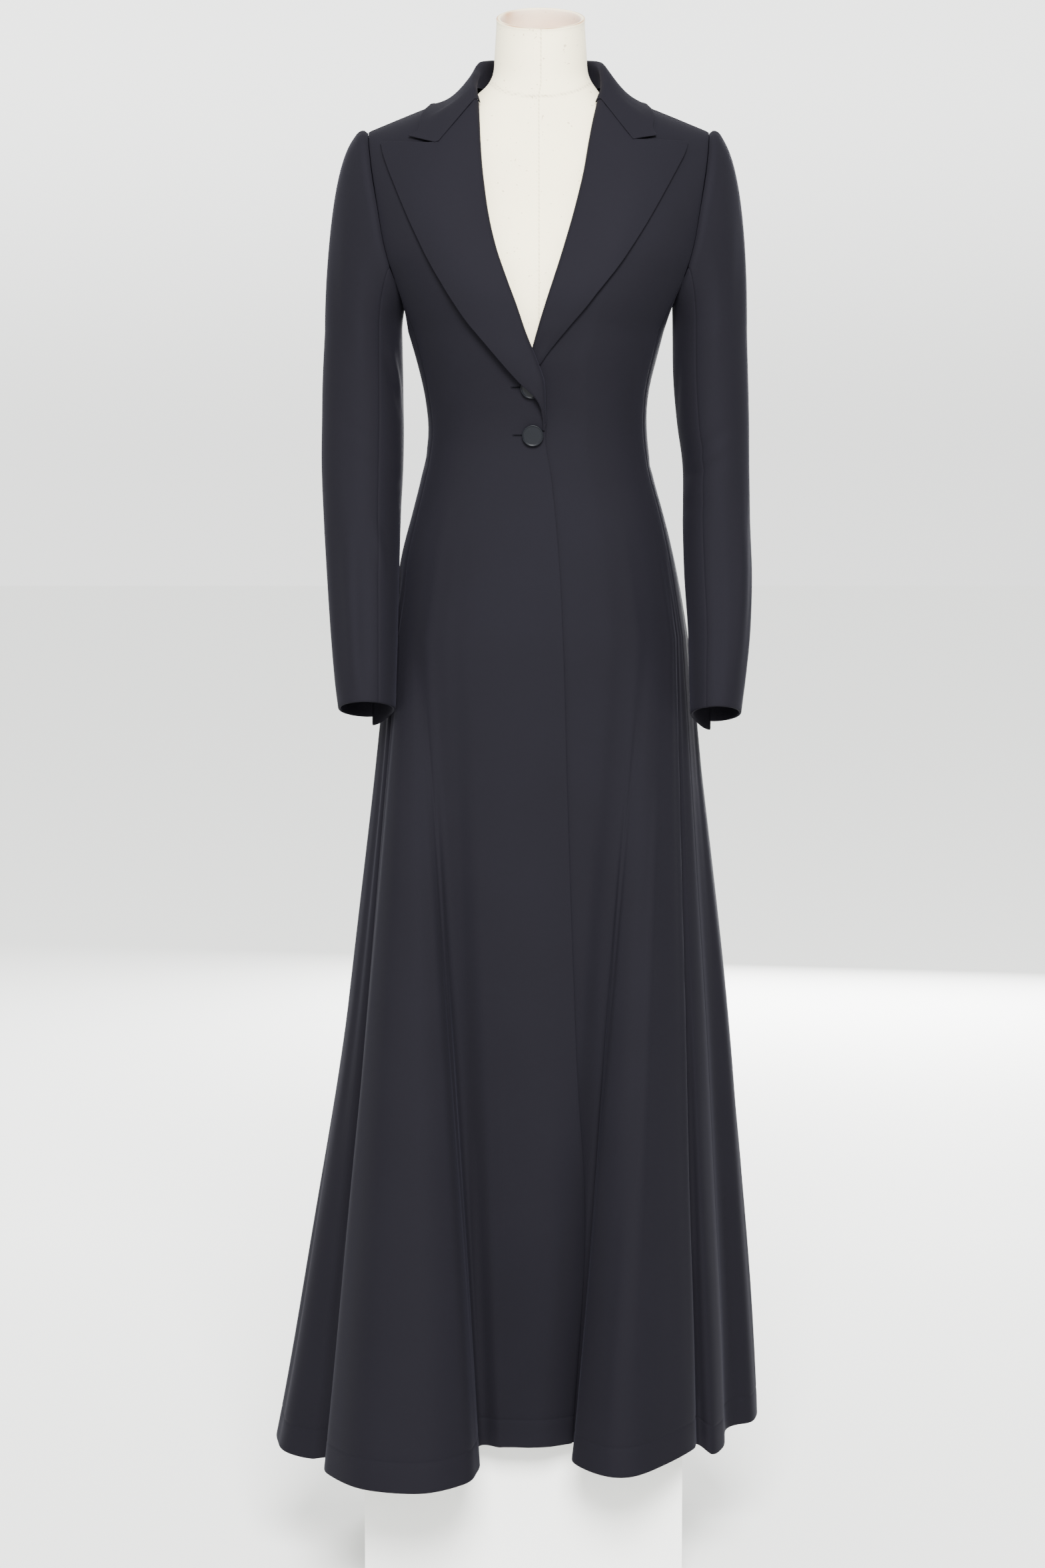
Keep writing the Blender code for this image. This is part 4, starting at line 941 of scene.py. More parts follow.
def lapelGrid(side, panel):
    surface = surfaceOf(panel)
    wraps, falls = lapelRows(side, surface, panel[:, -1] if side < 0 else panel[:, 0])
    perRow, perColumn = lapelFine["rowsPerStep"], lapelFine["columnsPerStep"]

    def fineRows(grid):
        return np.stack([finer(grid[:, j], perRow) for j in range(grid.shape[1])], axis=1)
    few = np.concatenate([wraps[-1], [point + normal * height for (x, z, height) in falls[-1]
                                      for point, normal in [onFront(surface, x, z)]]])
    wraps, falls = fineRows(wraps), fineRows(falls)
    # Even out the outer edge, but leave the rows near the notch and the fold line alone
    rows = len(falls)
    hold = np.minimum(np.arange(rows) / 8, (rows - 1 - np.arange(rows) - 2.5 * perRow) / 8)
    hold = np.clip(hold, 0, 1)[:, None, None] * np.clip(np.array(lapelParts) / 0.4, 0, 1)[None, :, None] * 0.5
    for _ in range(lapelFine["evening"]):
        falls[1:-1] += hold[1:-1] * ((falls[:-2] + falls[2:]) / 2 - falls[1:-1])
    grid = []
    corner = lapelParts.index(notchPart)
    for i in range(rows):
        sharp = ease((i / perRow - (len(lapelTables[side]) - 1 - 1.5)))
        fall = finer(falls[i], perColumn) * (1 - sharp) + finer(falls[i], perColumn, corner) * sharp
        laid = []
        for x, z, height in fall:
            point, normal = onFront(surface, x, z)
            laid.append(point + normal * height)
        wrap = finer([*wraps[i], laid[0], laid[perColumn]], perColumn)[:3 * perColumn]
        grid.append(np.vstack([wrap, laid]))
    grid = np.array(grid)
    if side < 0:
        grid, few = grid[:, ::-1], few[::-1]
    return closeRows(grid), few


def closeRows(grid, edges=(0.0006, 0.0016, 0.0032)):
    # The same grid with close rows and columns beside all four edges
    def tighten(lines):
        out = []
        for line in lines:
            length = lengthAlong(line)
            near = np.array(edges) * min(1, length[-1] / 0.02)
            inner = length[(length > near[-1] * 1.3) & (length < length[-1] - near[-1] * 1.3)]
            out.append((length, near, inner))
        count = min(len(inner) for _, _, inner in out)
        result = []
        for line, (length, near, inner) in zip(lines, out):
            inner = np.interp(np.linspace(0, 1, count), np.linspace(0, 1, len(inner)), inner)
            at = np.concatenate([[0], near, inner, length[-1] - near[::-1], [length[-1]]])
            result.append(np.column_stack([np.interp(at, length, line[:, k]) for k in range(3)]))
        return np.array(result)
    grid = tighten(grid)
    return tighten(grid.transpose(1, 0, 2)).transpose(1, 0, 2)


lapelLines = {}
for side, name in ((-1, "lapel_right"), (1, "lapel_left")):
    grid, lapelLines[side] = lapelGrid(side, plainFronts[side])
    out = normals(grid)
    out[0] = out[1]
    edges = ["bottom", "top", "first" if side < 0 else "last"]
    built[name] = clothShell("cloth_" + name, grid, out, coatCut["lapelWall"], wool, edges)
print("lapels laid")

# Collar stations from the nape round to the gorge: stand foot, roll, outer edge of the fall
collarTable = [
    (0.00, 0.000, 0.066, 1.671, 0.000, 0.072, 1.706, 0.000, 0.095, 1.644),
    (1.00, 0.038, 0.056, 1.671, 0.042, 0.061, 1.705, 0.060, 0.086, 1.645),
    (2.00, 0.062, 0.032, 1.671, 0.064, 0.034, 1.701, 0.099, 0.054, 1.650),
    (3.00, 0.0695, 0.002, 1.669, 0.0712, 0.000, 1.692, 0.1200, 0.004, 1.652),
    (4.00, 0.0705, -0.022, 1.662, 0.0722, -0.024, 1.676, 0.1330, -0.042, 1.638),
    (5.00, 0.0690, -0.042, 1.652, 0.0700, -0.044, 1.655, 0.1380, -0.086, 1.612),
]
collarCut = {
    "lift": 0.0018,                        # the fall's edge above the cloth under it
    "tipLift": 0.0032,
    "gorgeGap": 0.0004,
    "tips": {-1: (-0.1411, 1.6085), 1: (0.1268, 1.6085)},
    "lip": 0.0034, "tightLip": 0.0022,     # half width of the roll at the back and by the gorge
    "swell": 0.0026, "sag": 0.0098,        # the fall swells at the back and sags onto the shoulders
    "leftEdgeIn": 0.010,
    "rightRollDown": 0.009,                # the right half rolls lower beside the neck
    "stations": 10, "stationsPerStep": 4, "pointsPerStep": 4,
}


def laidOn(surfaces, point, lift):
    # The point over the nearest cloth, as far off it as the lift
    near = min((surface.find_nearest(Vector(point)) for surface in surfaces), key=lambda hit: hit[3])[0]
    away = np.array(point) - np.array(near)
    return np.array(near) + away / np.linalg.norm(away) * lift


def collarGrid():
    surfaces = {side: surfaceOf(plainFronts[side]) for side in (-1, 1)}
    under = {side: [surfaces[side], surfaceOf(backs[side])] for side in (-1, 1)}
    halves = {}
    for side in (-1, 1):
        half = []
        count = collarCut["stations"]
        for k in range(count + 1):
            at = collarTable[-1][0] * k / count
            row = smooth(collarTable, at)
            row[6] -= collarCut["leftEdgeIn"] * ease((at - 3) / 2) * (side > 0)
            row[5] -= collarCut["rightRollDown"] * ease(at - 1.8) * (1 - ease((at - 3.4) / 1.6)) * (side < 0)
            foot, roll, edge = (row[n:n + 3] * (side, 1, 1) for n in (0, 3, 6))
            edge = laidOn(under[side], edge, collarCut["lift"])
            out = edge - roll
            out[2] = 0
            out /= np.linalg.norm(out)
            tight = ease((at - 3.2) / 1.8)
            lip = collarCut["lip"] * (1 - tight) + collarCut["tightLip"] * tight
            points = [foot, (foot + roll) / 2 - out * 0.0008 - (0, 0, 0.001),
                      roll - out * lip - (0, 0, 0.0022), roll, roll + out * lip * 1.2 - (0, 0, 0.0030)]
            over = points[-1]
            if k < count:
                sagging = ease((at - 0.8) / 1.2) * (1 - ease(at - 4.0))
                swell = (collarCut["swell"] - collarCut["sag"] * sagging) * (1 - 0.6 * tight)
                for part in (0.3, 0.55, 0.8, 1.0):
                    point = over + (edge - over) * part
                    point += (out * (swell > 0) + (0, 0, 1)) * swell * math.sin(math.pi * part)
                    points.append(point)
            else:
                # The gorge: the lapel's top line moved off by the gap, then the free front edge
                order = slice(None) if side > 0 else slice(None, None, -1)
                seam = lapelLines[side][order]
                outOf = np.array([onFront(surfaces[side], point[0], point[2])[1] for point in seam])
                tangent = np.vstack([seam[1:2] - seam[:1], np.diff(seam, axis=0)])
                rise = np.cross(outOf, tangent) * side
                rise /= np.linalg.norm(rise, axis=1)[:, None]
                corner = 3 + lapelParts.index(notchPart)
                seam = seam + rise * collarCut["gorgeGap"]
                tip, normal = onFront(surfaces[side], *collarCut["tips"][side])
                tip = tip + normal * collarCut["tipLift"]
                points = [seam[0], (seam[0] + seam[1]) / 2, seam[1], seam[2], seam[3],
                          seam[(corner + 3) // 2], seam[corner], (seam[corner] + tip) / 2, tip]
            half.append(points)
        halves[side] = np.array(half)
    stations = np.concatenate([halves[-1][::-1], halves[1][1:]])
    perStation, perPoint = collarCut["stationsPerStep"], collarCut["pointsPerStep"]
    fine = np.array([finer(row, perPoint) for row in stations])
    fine[0], fine[-1] = (finer(stations[k], perPoint, 6) for k in (0, -1))
    columns = fine.transpose(1, 0, 2)
    grid = np.array([finer(line, perStation) for line in columns]).transpose(1, 0, 2)
    first = 4 * perPoint
    part = np.clip((np.arange(grid.shape[1]) - first) / (grid.shape[1] - 1 - first), 0, 1)[:, None] ** 2
    both = under[-1] + under[1]
    for k in range(len(grid)):
        fromGorge = min(k, len(grid) - 1 - k) / perStation
        move = laidOn(both, grid[k, -1], collarCut["lift"]) - grid[k, -1]
        grid[k] += part * move * ease(fromGorge / 1.5)
    return closeRows(grid)


collar = collarGrid()
built["collar"] = clothShell("cloth_collar", collar, normals(collar), coatCut["lapelWall"], wool,
                             ["bottom", "top", "last"])
print("collar turned")

# Sleeve rings: height, outer x, inner x, middle y, half depth; and how much the ring tips up at the front
sleeveTables = {
    -1: [(1.400, 0.2400, 0.1530, 0.006, 0.063, 0.0), (1.350, 0.2425, 0.1525, 0.004, 0.059, 0.0),
         (1.300, 0.2435, 0.1520, 0.000, 0.056, 0.0), (1.250, 0.2440, 0.1525, -0.007, 0.053, 0.02),
         (1.190, 0.2415, 0.1545, -0.022, 0.051, 0.06), (1.130, 0.2370, 0.1550, -0.044, 0.048, 0.12),
         (1.070, 0.2315, 0.1555, -0.068, 0.045, 0.18), (1.020, 0.2260, 0.1565, -0.087, 0.043, 0.24),
         (0.985, 0.2215, 0.1580, -0.098, 0.042, 0.28)],
    1: [(1.400, 0.2345, 0.1510, 0.006, 0.063, 0.0), (1.350, 0.2355, 0.1520, 0.004, 0.059, 0.0),
        (1.300, 0.2360, 0.1560, 0.000, 0.056, 0.0), (1.250, 0.2360, 0.1620, -0.006, 0.053, 0.02),
        (1.190, 0.2370, 0.1610, -0.020, 0.051, 0.06), (1.130, 0.2385, 0.1620, -0.042, 0.048, 0.12),
        (1.070, 0.2350, 0.1655, -0.066, 0.045, 0.18), (1.020, 0.2290, 0.1660, -0.086, 0.043, 0.24),
        (0.980, 0.2235, 0.1670, -0.098, 0.042, 0.28)],
}
sleeveLook = {
    "capRows": 26, "armRows": 62, "upperColumns": 64, "underColumns": 44,
    "ropeHeight": 0.0022, "ropeWidth": 0.0075,    # the padded roll at the head of the sleeve
    "puckerDepth": 0.00035, "puckers": 46,        # ease gathered into the armhole
    "cuffWall": 0.0032, "cuffTurnUp": 0.030, "headGap": 0.0003, "headSpread": 1.6,
    "ventDrop": 0.010, "ventStandOff": 0.0016, "ventWidth": 0.021, "ventHeight": 0.034,
    "waves": (0.09, 0.0014, 8.0), "calmRun": 0.03,
    "capCrowding": 1.3,       # above one, the rows lie closer at the head
}
# Creases of the sleeves: turn and height of both ends, half width, rise or depth
sleeveCreases = {
    -1: [(60, 1.300, 150, 1.262, 0.008, -0.0010), (80, 1.262, 168, 1.232, 0.008, -0.0014),
         (96, 1.226, 176, 1.206, 0.007, -0.0010), (133, 1.385, 166, 1.330, 0.006, 0.0018),
         (128, 1.370, 160, 1.312, 0.007, -0.0018), (112, 1.190, 128, 1.135, 0.006, 0.0018),
         (75, 1.180, 74, 1.00, 0.012, 0.0026), (48, 1.200, 47, 1.02, 0.012, -0.0018),
         (94, 1.170, 92, 1.00, 0.010, -0.0020), (66, 1.330, 78, 1.180, 0.014, -0.0012),
         (-40, 1.30, -20, 1.10, 0.013, 0.0016),
         (30, 1.52, 62, 1.36, 0.014, -0.0018), (84, 1.48, 92, 1.33, 0.010, 0.0014),
         (-50, 1.50, -40, 1.34, 0.014, -0.0014), (250, 1.30, 210, 1.24, 0.009, -0.0022),
         (236, 1.262, 196, 1.212, 0.009, -0.0018), (150, 1.38, 176, 1.31, 0.009, -0.0014)],
    1: [(66, 1.292, 150, 1.256, 0.008, -0.0022), (84, 1.256, 170, 1.238, 0.007, -0.0028),
        (100, 1.214, 176, 1.200, 0.007, -0.0016), (76, 1.274, 146, 1.246, 0.006, 0.0016),
        (46, 1.24, 54, 1.03, 0.011, 0.0018), (16, 1.20, 28, 1.01, 0.012, -0.0015),
        (94, 1.18, 90, 1.00, 0.009, -0.0014), (-36, 1.31, -24, 1.12, 0.013, 0.0016),
        (26, 1.53, 58, 1.38, 0.014, -0.0018), (80, 1.49, 90, 1.35, 0.010, 0.0014),
        (-54, 1.50, -44, 1.34, 0.014, -0.0014), (246, 1.29, 206, 1.23, 0.009, -0.0022),
        (232, 1.255, 192, 1.205, 0.009, -0.0018), (148, 1.37, 172, 1.30, 0.009, -0.0014)],
}


def atHead(turns):
    # How much a turn round the arm belongs to the head of the sleeve
    return ease(np.cos(np.radians(turns)) * sleeveLook["headSpread"])


def sleeveRow(side, turns, row):
    # Outer points of the sleeve: a curved cap down to the first ring, then ring by ring
    caps, arms = sleeveLook["capRows"], sleeveLook["armRows"]
    table = sleeveTables[side]
    indexed = np.column_stack([np.arange(len(table)), table])

    def ring(place):
        height, outer, inner, middle, depth, tip = smooth(indexed, place)
        lean = np.radians(turns)
        return np.column_stack([side * ((outer + inner) / 2 + (outer - inner) / 2 * np.cos(lean)),
                                middle - depth * np.sin(lean), height + tip * depth * np.sin(lean)])
    if row > caps:
        return ring((row - caps) / arms * (len(table) - 1))
    lean = np.radians(turns)
    top = np.maximum(0, np.cos(lean))
    gap = coatCut["sleeveGap"] + (sleeveLook["headGap"] - coatCut["sleeveGap"]) * atHead(turns)
    start = armholePoints(side, turns % 360) + np.outer(gap, (side, 0, 0))
    end = ring(0)
    under = np.maximum(0, -np.cos(lean))
    reach = np.linalg.norm(end - start, axis=1)
    lift = np.column_stack([side * (0.034 * top + 0.012 * (1 - top) * (1 - under)),
                            -0.010 * np.sin(lean) * (1 - top), 0.010 * top - 0.012 * under])
    low = end + np.column_stack([0 * reach, 0 * reach, reach * 0.42])
    u = (row / caps) ** sleeveLook["capCrowding"]
    return ((1 - u) ** 3 * start + 3 * u * (1 - u) ** 2 * (start + lift) + 3 * u * u * (1 - u) * low
            + u ** 3 * end)


def sleeveGrid(side, first, last, columns):
    turns = np.linspace(first, last, columns + 1)
    count = sleeveLook["capRows"] + sleeveLook["armRows"]
    rows = []
    for row in range(count + 1):
        points = sleeveRow(side, turns, row)
        rows.append(np.column_stack([points, turns, points[:, 2]]))
    grid = np.array(rows[::-1])
    if side > 0:
        grid = grid[:, ::-1].copy()
    return closeAtEdges(grid, columns)


def sleeveMove(side, grid):
    # Creases, the rope at the head and the ease gathered into the armhole
    turn, height = grid[..., 3], grid[..., 4]
    move = creaseMove(turn, height, sleeveCreases[side], lambda at: 0.0009)
    fromHead = edgeMask(grid, "top")
    fromCuff = edgeMask(grid, "bottom")
    calm = ease(fromHead / sleeveLook["calmRun"]) * ease(fromCuff / sleeveLook["calmRun"])
    move = move * calm + waviness(grid, *sleeveLook["waves"]) * calm
    headPart = np.clip(np.cos(np.radians(turn * 0.82)), 0, 1)
    rope = sleeveLook["ropeHeight"] * np.exp(-((fromHead - 0.007) / sleeveLook["ropeWidth"]) ** 2)
    move += rope * headPart * ease(fromHead / 0.004)
    move -= coatCut["seamDip"] * np.exp(-fromHead / coatCut["seamRoll"]) * atHead(turn)
    pucker = np.sin(np.radians(turn) * sleeveLook["puckers"] + 2.0 * np.sin(np.radians(turn) * 5))
    move += sleeveLook["puckerDepth"] * pucker * headPart * np.exp(-fromHead / 0.012) * ease(fromHead / 0.002)
    return move


sleeveCuts = {"upper": (0.20, 0.67, 0.113), "under": (0.125, 0.56, 0.058)}
for side, name in ((-1, "sleeve_right"), (1, "sleeve_left")):
    halves = {name + "_upper": sleeveGrid(side, -100, 118, sleeveLook["upperColumns"]),
              name + "_under": sleeveGrid(side, 118, 260, sleeveLook["underColumns"])}
    out = {half: normals(grid) for half, grid in halves.items()}
    ends = (0, -1) if side < 0 else (-1, 0)
    share(out, name + "_upper", ends[0], name + "_under", ends[1], None)
    share(out, name + "_upper", ends[1], name + "_under", ends[0], None)
    for half, grid in halves.items():
        # At the head the cut edge stands upright beside the shoulder's
        out[half][-1, :, 0] *= 1 - atHead(grid[-1, :, 3])
        out[half][-1] /= np.linalg.norm(out[half][-1], axis=1)[:, None]
        move = sleeveMove(side, grid) + pressSeams(grid, ["first", "last"])
        fromCuff = edgeMask(grid, "bottom")
        grid[..., :3] += out[half] * move[..., None]
        if half.endswith("under"):
            # The vent: this half hangs a little lower at the back seam, and stands off it
            fromVent = edgeMask(grid, "last" if side < 0 else "first")
            corner = (np.exp(-(fromVent / sleeveLook["ventWidth"]) ** 2)
                      * (1 - ease(fromCuff / sleeveLook["ventHeight"])))
            grid[..., 2] -= sleeveLook["ventDrop"] * corner
            grid[..., :3] -= out[half] * (sleeveLook["ventStandOff"] * corner)[..., None]
        trim(grid, ["first", "last"])
        turnedUp = 1 - ease(fromCuff / sleeveLook["cuffTurnUp"])
        wall = coatCut["wall"] + (sleeveLook["cuffWall"] - coatCut["wall"]) * turnedUp
        built[half] = clothShell("cloth_" + half, grid, out[half], wall, wool, ["bottom"])
print("sleeves set in")

buttonLook = {
    "profile": [(0.0080, 0.0004), (0.0104, 0.0007), (0.01135, 0.0014), (0.0117, 0.0022), (0.01165, 0.0029),
                (0.0114, 0.00345), (0.0110, 0.0037), (0.0106, 0.0036), (0.0103, 0.0033), (0.0100, 0.00305),
                (0.0094, 0.0030), (0.0080, 0.0031), (0.0060, 0.0032), (0.0030, 0.0033)],
    "foot": 0.0003, "crown": 0.00332,
    "sides": 96,
    "places": {"button_upper": (-0.0085, 1.3355, 0.0008), "button_lower": (-0.0067, 1.284, 0.0019)},
    # The last two place the near-black strip of painted shade in the opening
    "slitStart": 0.001, "slitLength": 0.0225, "slitShadeWidth": 0.0007, "slitShadeLift": 0.00045,
    "stitchWidth": 0.00030, "stitchLength": 0.0015, "stitchStep": 0.00055,
}


lapSurface = surfaceOf(plainFronts[-1])


def placeOn(x, z):
    point, normal = onFront(lapSurface, x, z)
    normal = Vector(normal).normalized()
    side = normal.cross(Vector((0, 0, 1))).normalized()
    side = side if side.x > 0 else -side
    up = normal.cross(side)
    up = up if up.z > 0 else -up
    return Vector(point) + Vector((coatCut["shift"], 0, 0)), normal, side, up


def turnedFaces(rings, count):
    # Faces between rings of points, and fans at both ends to the two middle points that come last
    faces = []
    for i in range(rings - 1):
        for k in range(count):
            a, b = i * count + k, i * count + (k + 1) % count
            faces.append((a, b, b + count, a + count))
    last, middles = (rings - 1) * count, rings * count
    for k in range(count):
        n = (k + 1) % count
        faces += [(middles, n, k), (middles + 1, last + k, last + n)]
    return faces


def addButton(name):
    x, z, lift = buttonLook["places"][name]
    point, normal, side, up = placeOn(x, z)
    count = buttonLook["sides"]
    verts = []
    for radius, out in buttonLook["profile"]:
        for k in range(count):
            turn = 2 * math.pi * k / count
            verts.append(point + normal * (lift + out) + side * radius * math.cos(turn)
                         + up * radius * math.sin(turn))
    verts += [point + normal * (lift + out) for out in (buttonLook["foot"], buttonLook["crown"])]
    return addMesh("satin_" + name, verts, turnedFaces(len(buttonLook["profile"]), count), None, satin)


# Rings of a stitch: part of its length, thickness and bow as shares of its radius
stitchRings = [(0, 0.35, 0), (0.2, 0.9, 0.6), (0.5, 1, 1), (0.8, 0.9, 0.6), (1, 0.35, 0)]
stitchSides = 6


def addStitch(verts, faces, start, end, out, radius):
    # A short stitch of thread, bowed off the cloth
    run = (end - start).normalized()
    across = run.cross(out).normalized()
    first, sides = len(verts), stitchSides
    for part, thick, bow in stitchRings:
        middle = start.lerp(end, part) + out * radius * (0.5 + bow)
        for k in range(sides):
            turn = 2 * math.pi * k / sides
            verts.append(middle + (across * math.cos(turn) + out * math.sin(turn)) * radius * thick)
    last = first + sides * (len(stitchRings) - 1)
    for ring in range(first, last, sides):
        for k in range(sides):
            a, b = ring + k, ring + (k + 1) % sides
            faces.append((a, b, b + sides, a + sides))
    faces.append(tuple(first + k for k in range(sides - 1, -1, -1)))
    faces.append(tuple(last + k for k in range(sides)))


def addButtonhole(name, button):
    # Thread worked round the opening that the button's shank goes through, and a near-black strip along the
    # opening as painted shade
    x, z, _ = buttonLook["places"][button]
    verts, faces = [], []
    radius, length = buttonLook["stitchWidth"] / 2, buttonLook["stitchLength"]
    count = int(buttonLook["slitLength"] / buttonLook["stitchStep"])
    places = [placeOn(x + buttonLook["slitStart"] - buttonLook["slitLength"] * k / count, z)
              for k in range(count + 1)]
    # Corners of the near-black strip of painted shade along the opening
    cut = []
    for k, (point, normal, side, up) in enumerate(places):
        base = point + normal * 0.0001
        for way in (-1, 1):
            wobble = 0.00012 * math.sin(k * 2.4 + way)
            addStitch(verts, faces, base + up * (0.0002 * way), base + up * way * (length + wobble), normal,
                      radius)
        half = buttonLook["slitShadeWidth"] / 2 * min(1, (count - k) / 3)
        cut += [point + normal * buttonLook["slitShadeLift"] + up * half * way for way in (-1, 1)]
    # The last place also gets the fan of stitches round the hole's end
    for k in range(7):
        turn = math.pi * k / 6 + math.pi / 2
        reach = side * math.cos(turn) + up * math.sin(turn)
        addStitch(verts, faces, point + reach * 0.0003, point + reach * length * 1.05, normal, radius)
    made = addMesh(name, verts, faces, None, thread)
    made.data.materials.append(slitPaintedShade)
    # The strip gets the near-black material: painted shade where the opening is dark
    work = bmesh.new()
    work.from_mesh(made.data)
    corners = [work.verts.new(place) for place in cut]
    for k in range(count):
        strip = work.faces.new([corners[n] for n in (2 * k, 2 * k + 1, 2 * k + 3, 2 * k + 2)])
        strip.material_index = 1
        strip.normal_update()
        if strip.normal.y > 0:
            strip.normal_flip()
    work.to_mesh(made.data)
    work.free()
    return made


for name in buttonLook["places"]:
    built[name] = addButton(name)
holes = [addButtonhole(name.replace("button", "buttonhole"), name) for name in buttonLook["places"]]
print("buttons and buttonholes worked")

# Dress form rings: half width, front depth, back depth, height, tip
formTable = [
    (0.120, 0.088, 0.084, 0.960, 0), (0.146, 0.112, 0.106, 0.964, 0), (0.1530, 0.118, 0.113, 0.985, 0),
    (0.1560, 0.122, 0.117, 1.060, 0), (0.1430, 0.110, 0.101, 1.153, 0), (0.1200, 0.099, 0.081, 1.243, 0),
    (0.1140, 0.098, 0.076, 1.287, 0), (0.1165, 0.105, 0.079, 1.332, 0), (0.1260, 0.117, 0.085, 1.376, 0),
    (0.1320, 0.123, 0.089, 1.410, 0), (0.1370, 0.124, 0.093, 1.445, 0), (0.1430, 0.114, 0.095, 1.490, 0),
    (0.1490, 0.100, 0.0930, 1.530, 0), (0.1520, 0.086, 0.0878, 1.570, 0), (0.1480, 0.074, 0.0798, 1.597, 0),
    (0.1340, 0.066, 0.0728, 1.614, 0), (0.1095, 0.060, 0.0658, 1.630, 0), (0.0850, 0.055, 0.0578, 1.6465, 0),
    (0.0690, 0.052, 0.0540, 1.6615, 0.05), (0.0585, 0.0512, 0.0535, 1.673, 0.08),
    (0.0525, 0.051, 0.053, 1.686, 0.12), (0.0510, 0.052, 0.053, 1.708, 0.20),
    (0.0492, 0.053, 0.054, 1.738, 0.33), (0.0495, 0.054, 0.055, 1.744, 0.35),
    (0.0482, 0.0525, 0.0535, 1.7455, 0.35), (0.0455, 0.0495, 0.0505, 1.745, 0.35),
    (0.0440, 0.048, 0.049, 1.741, 0.35), (0.0430, 0.047, 0.048, 1.727, 0.35),
    (0.0300, 0.033, 0.034, 1.722, 0.35),
]
formLook = {
    "sides": 120,
    "ringsPerStep": 5,
    "rimRing": 24,            # where the neck turns over into its hollow
    "neckSeam": 1.674,        # height of the neck's seam at the sides; it dips at the front
    "neckSeamDip": 0.020,
    "neckLean": 0.0022,       # how far the neck stands over to the wearer's left
    "seamDepth": 0.0004, "frontSeamWidth": 0.0006, "neckSeamWidth": 0.0010,
    "stainTurn": 4.1,         # where the hollow is stained
    "backClearance": 0.0042,  # from the outer face of the back's cloth
}


backSurfaces = [surfaceOf(panels[name]) for name in ("back_right", "back_left")]


def clearOfBack(place):
    # Under the back's cloth the form keeps a little further in
    x, y, z = place
    if y < 0.01 or not 1.44 < z < 1.665:
        return place
    place = Vector((x - coatCut["shift"], y, z))
    found = [surface.find_nearest(place) for surface in backSurfaces]
    hit, _, _, away = min(found, key=lambda nearest: nearest[3])
    axis = Vector((0, 0, z - 0.06))
    outward = (hit - place).normalized()
    if outward.dot(place - axis) < 0:
        outward, away = -outward, -away
    lack = max(0, formLook["backClearance"] - away)
    return (x - outward.x * lack, y - outward.y * lack, z - outward.z * lack)


def buildForm():
    indexed = np.column_stack([np.arange(len(formTable)), formTable])
    perStep = formLook["ringsPerStep"]
    places = np.linspace(0, len(formTable) - 1, (len(formTable) - 1) * perStep + 1)
    rings = smooth(indexed, places)
    even = np.linspace(0, 2 * math.pi, formLook["sides"], endpoint=False)
    close = np.array([-0.028, -0.016, -0.008, -0.003, 0.003, 0.008, 0.016, 0.028])
    turns = np.sort(np.concatenate([even[2:-1], close % (2 * math.pi), [0.0]]))
    verts, wear, sewn, hollowDarkerValues = [], [], [], []
    for place, (half, front, back, height, tip) in zip(places, rings):
        inside = place - formLook["rimRing"]
        for turn in turns:
            ahead = math.cos(turn)
            x, y = half * math.sin(turn), (-front if ahead > 0 else -back) * ahead
            z = height + tip * y
            seamFront = math.exp(-((x / formLook["frontSeamWidth"]) ** 2)) if ahead > 0 and inside < 0 else 0
            dip = formLook["neckSeam"] - formLook["neckSeamDip"] * max(ahead, 0) ** 2
            seamNeck = math.exp(-(((z - dip) / formLook["neckSeamWidth"]) ** 2)) if inside < 0 else 0
            line = max(seamFront, seamNeck)
            size = 1 - formLook["seamDepth"] * line / half
            if inside > 1:
                z += 0.0012 * math.sin(turn * 5 + 1.0) * math.sin(turn * 2) * min(inside / 4, 1)
            lean = formLook["neckLean"] * float(ease((height - 1.655) / 0.02))
            verts.append((x * size + coatCut["shift"] + lean, y * size, z))
            rim = math.exp(-((inside + 0.2) / 0.55) ** 2)
            # A brown ring low in the hollow, where its wall meets its floor
            low = 0.35 * math.exp(-((inside - 3.2) / 0.8) ** 2)
            stained = 0.8 * (math.exp(-((turn - formLook["stainTurn"]) / 0.22) ** 2)
                             * math.exp(-((inside - 1.5) / 1.0) ** 2))
            wear.append(min(1, rim * (0.75 + 0.25 * math.sin(turn * 7)) + low + stained))
            sewn.append(line)
            # Inside the hollow the colour is painted darker and browner
            hollowDarkerValues.append(min(1.0, max(0.0, inside - 0.6)))
    verts = [clearOfBack(place) for place in verts]
    shift = coatCut["shift"]
    verts += [(shift, 0, formTable[0][3]), (shift + formLook["neckLean"], 0, formTable[-1][3])]
    wear += [0, 0.2]
    sewn += [0, 0]
    hollowDarkerValues += [0, 1]
    made = addMesh("linen_form", verts, turnedFaces(len(rings), len(turns)), None, linen)
    for label, values in (("rimWear", wear), ("sewnLine", sewn), ("hollowDarker", hollowDarkerValues)):
        layer = made.data.attributes.new(label, "FLOAT", "POINT")
        layer.data.foreach_set("value", np.array(values, np.float32))
    return made


built["form"] = buildForm()
print("form covered")

# Pole and block keep their CAD solids
for name, finish in (("pole", steel), ("stand_base", white)):
    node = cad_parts[name]
    node.data.materials.clear()
    node.data.materials.append(finish)

for name, piece in built.items():
    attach(piece, "root")
    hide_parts(name)
for hole in holes:
    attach(hole, "root")

for name in ("sleeve_right", "sleeve_left"):
    for half, (width, length, area) in sleeveCuts.items():
        built[name + "_" + half]

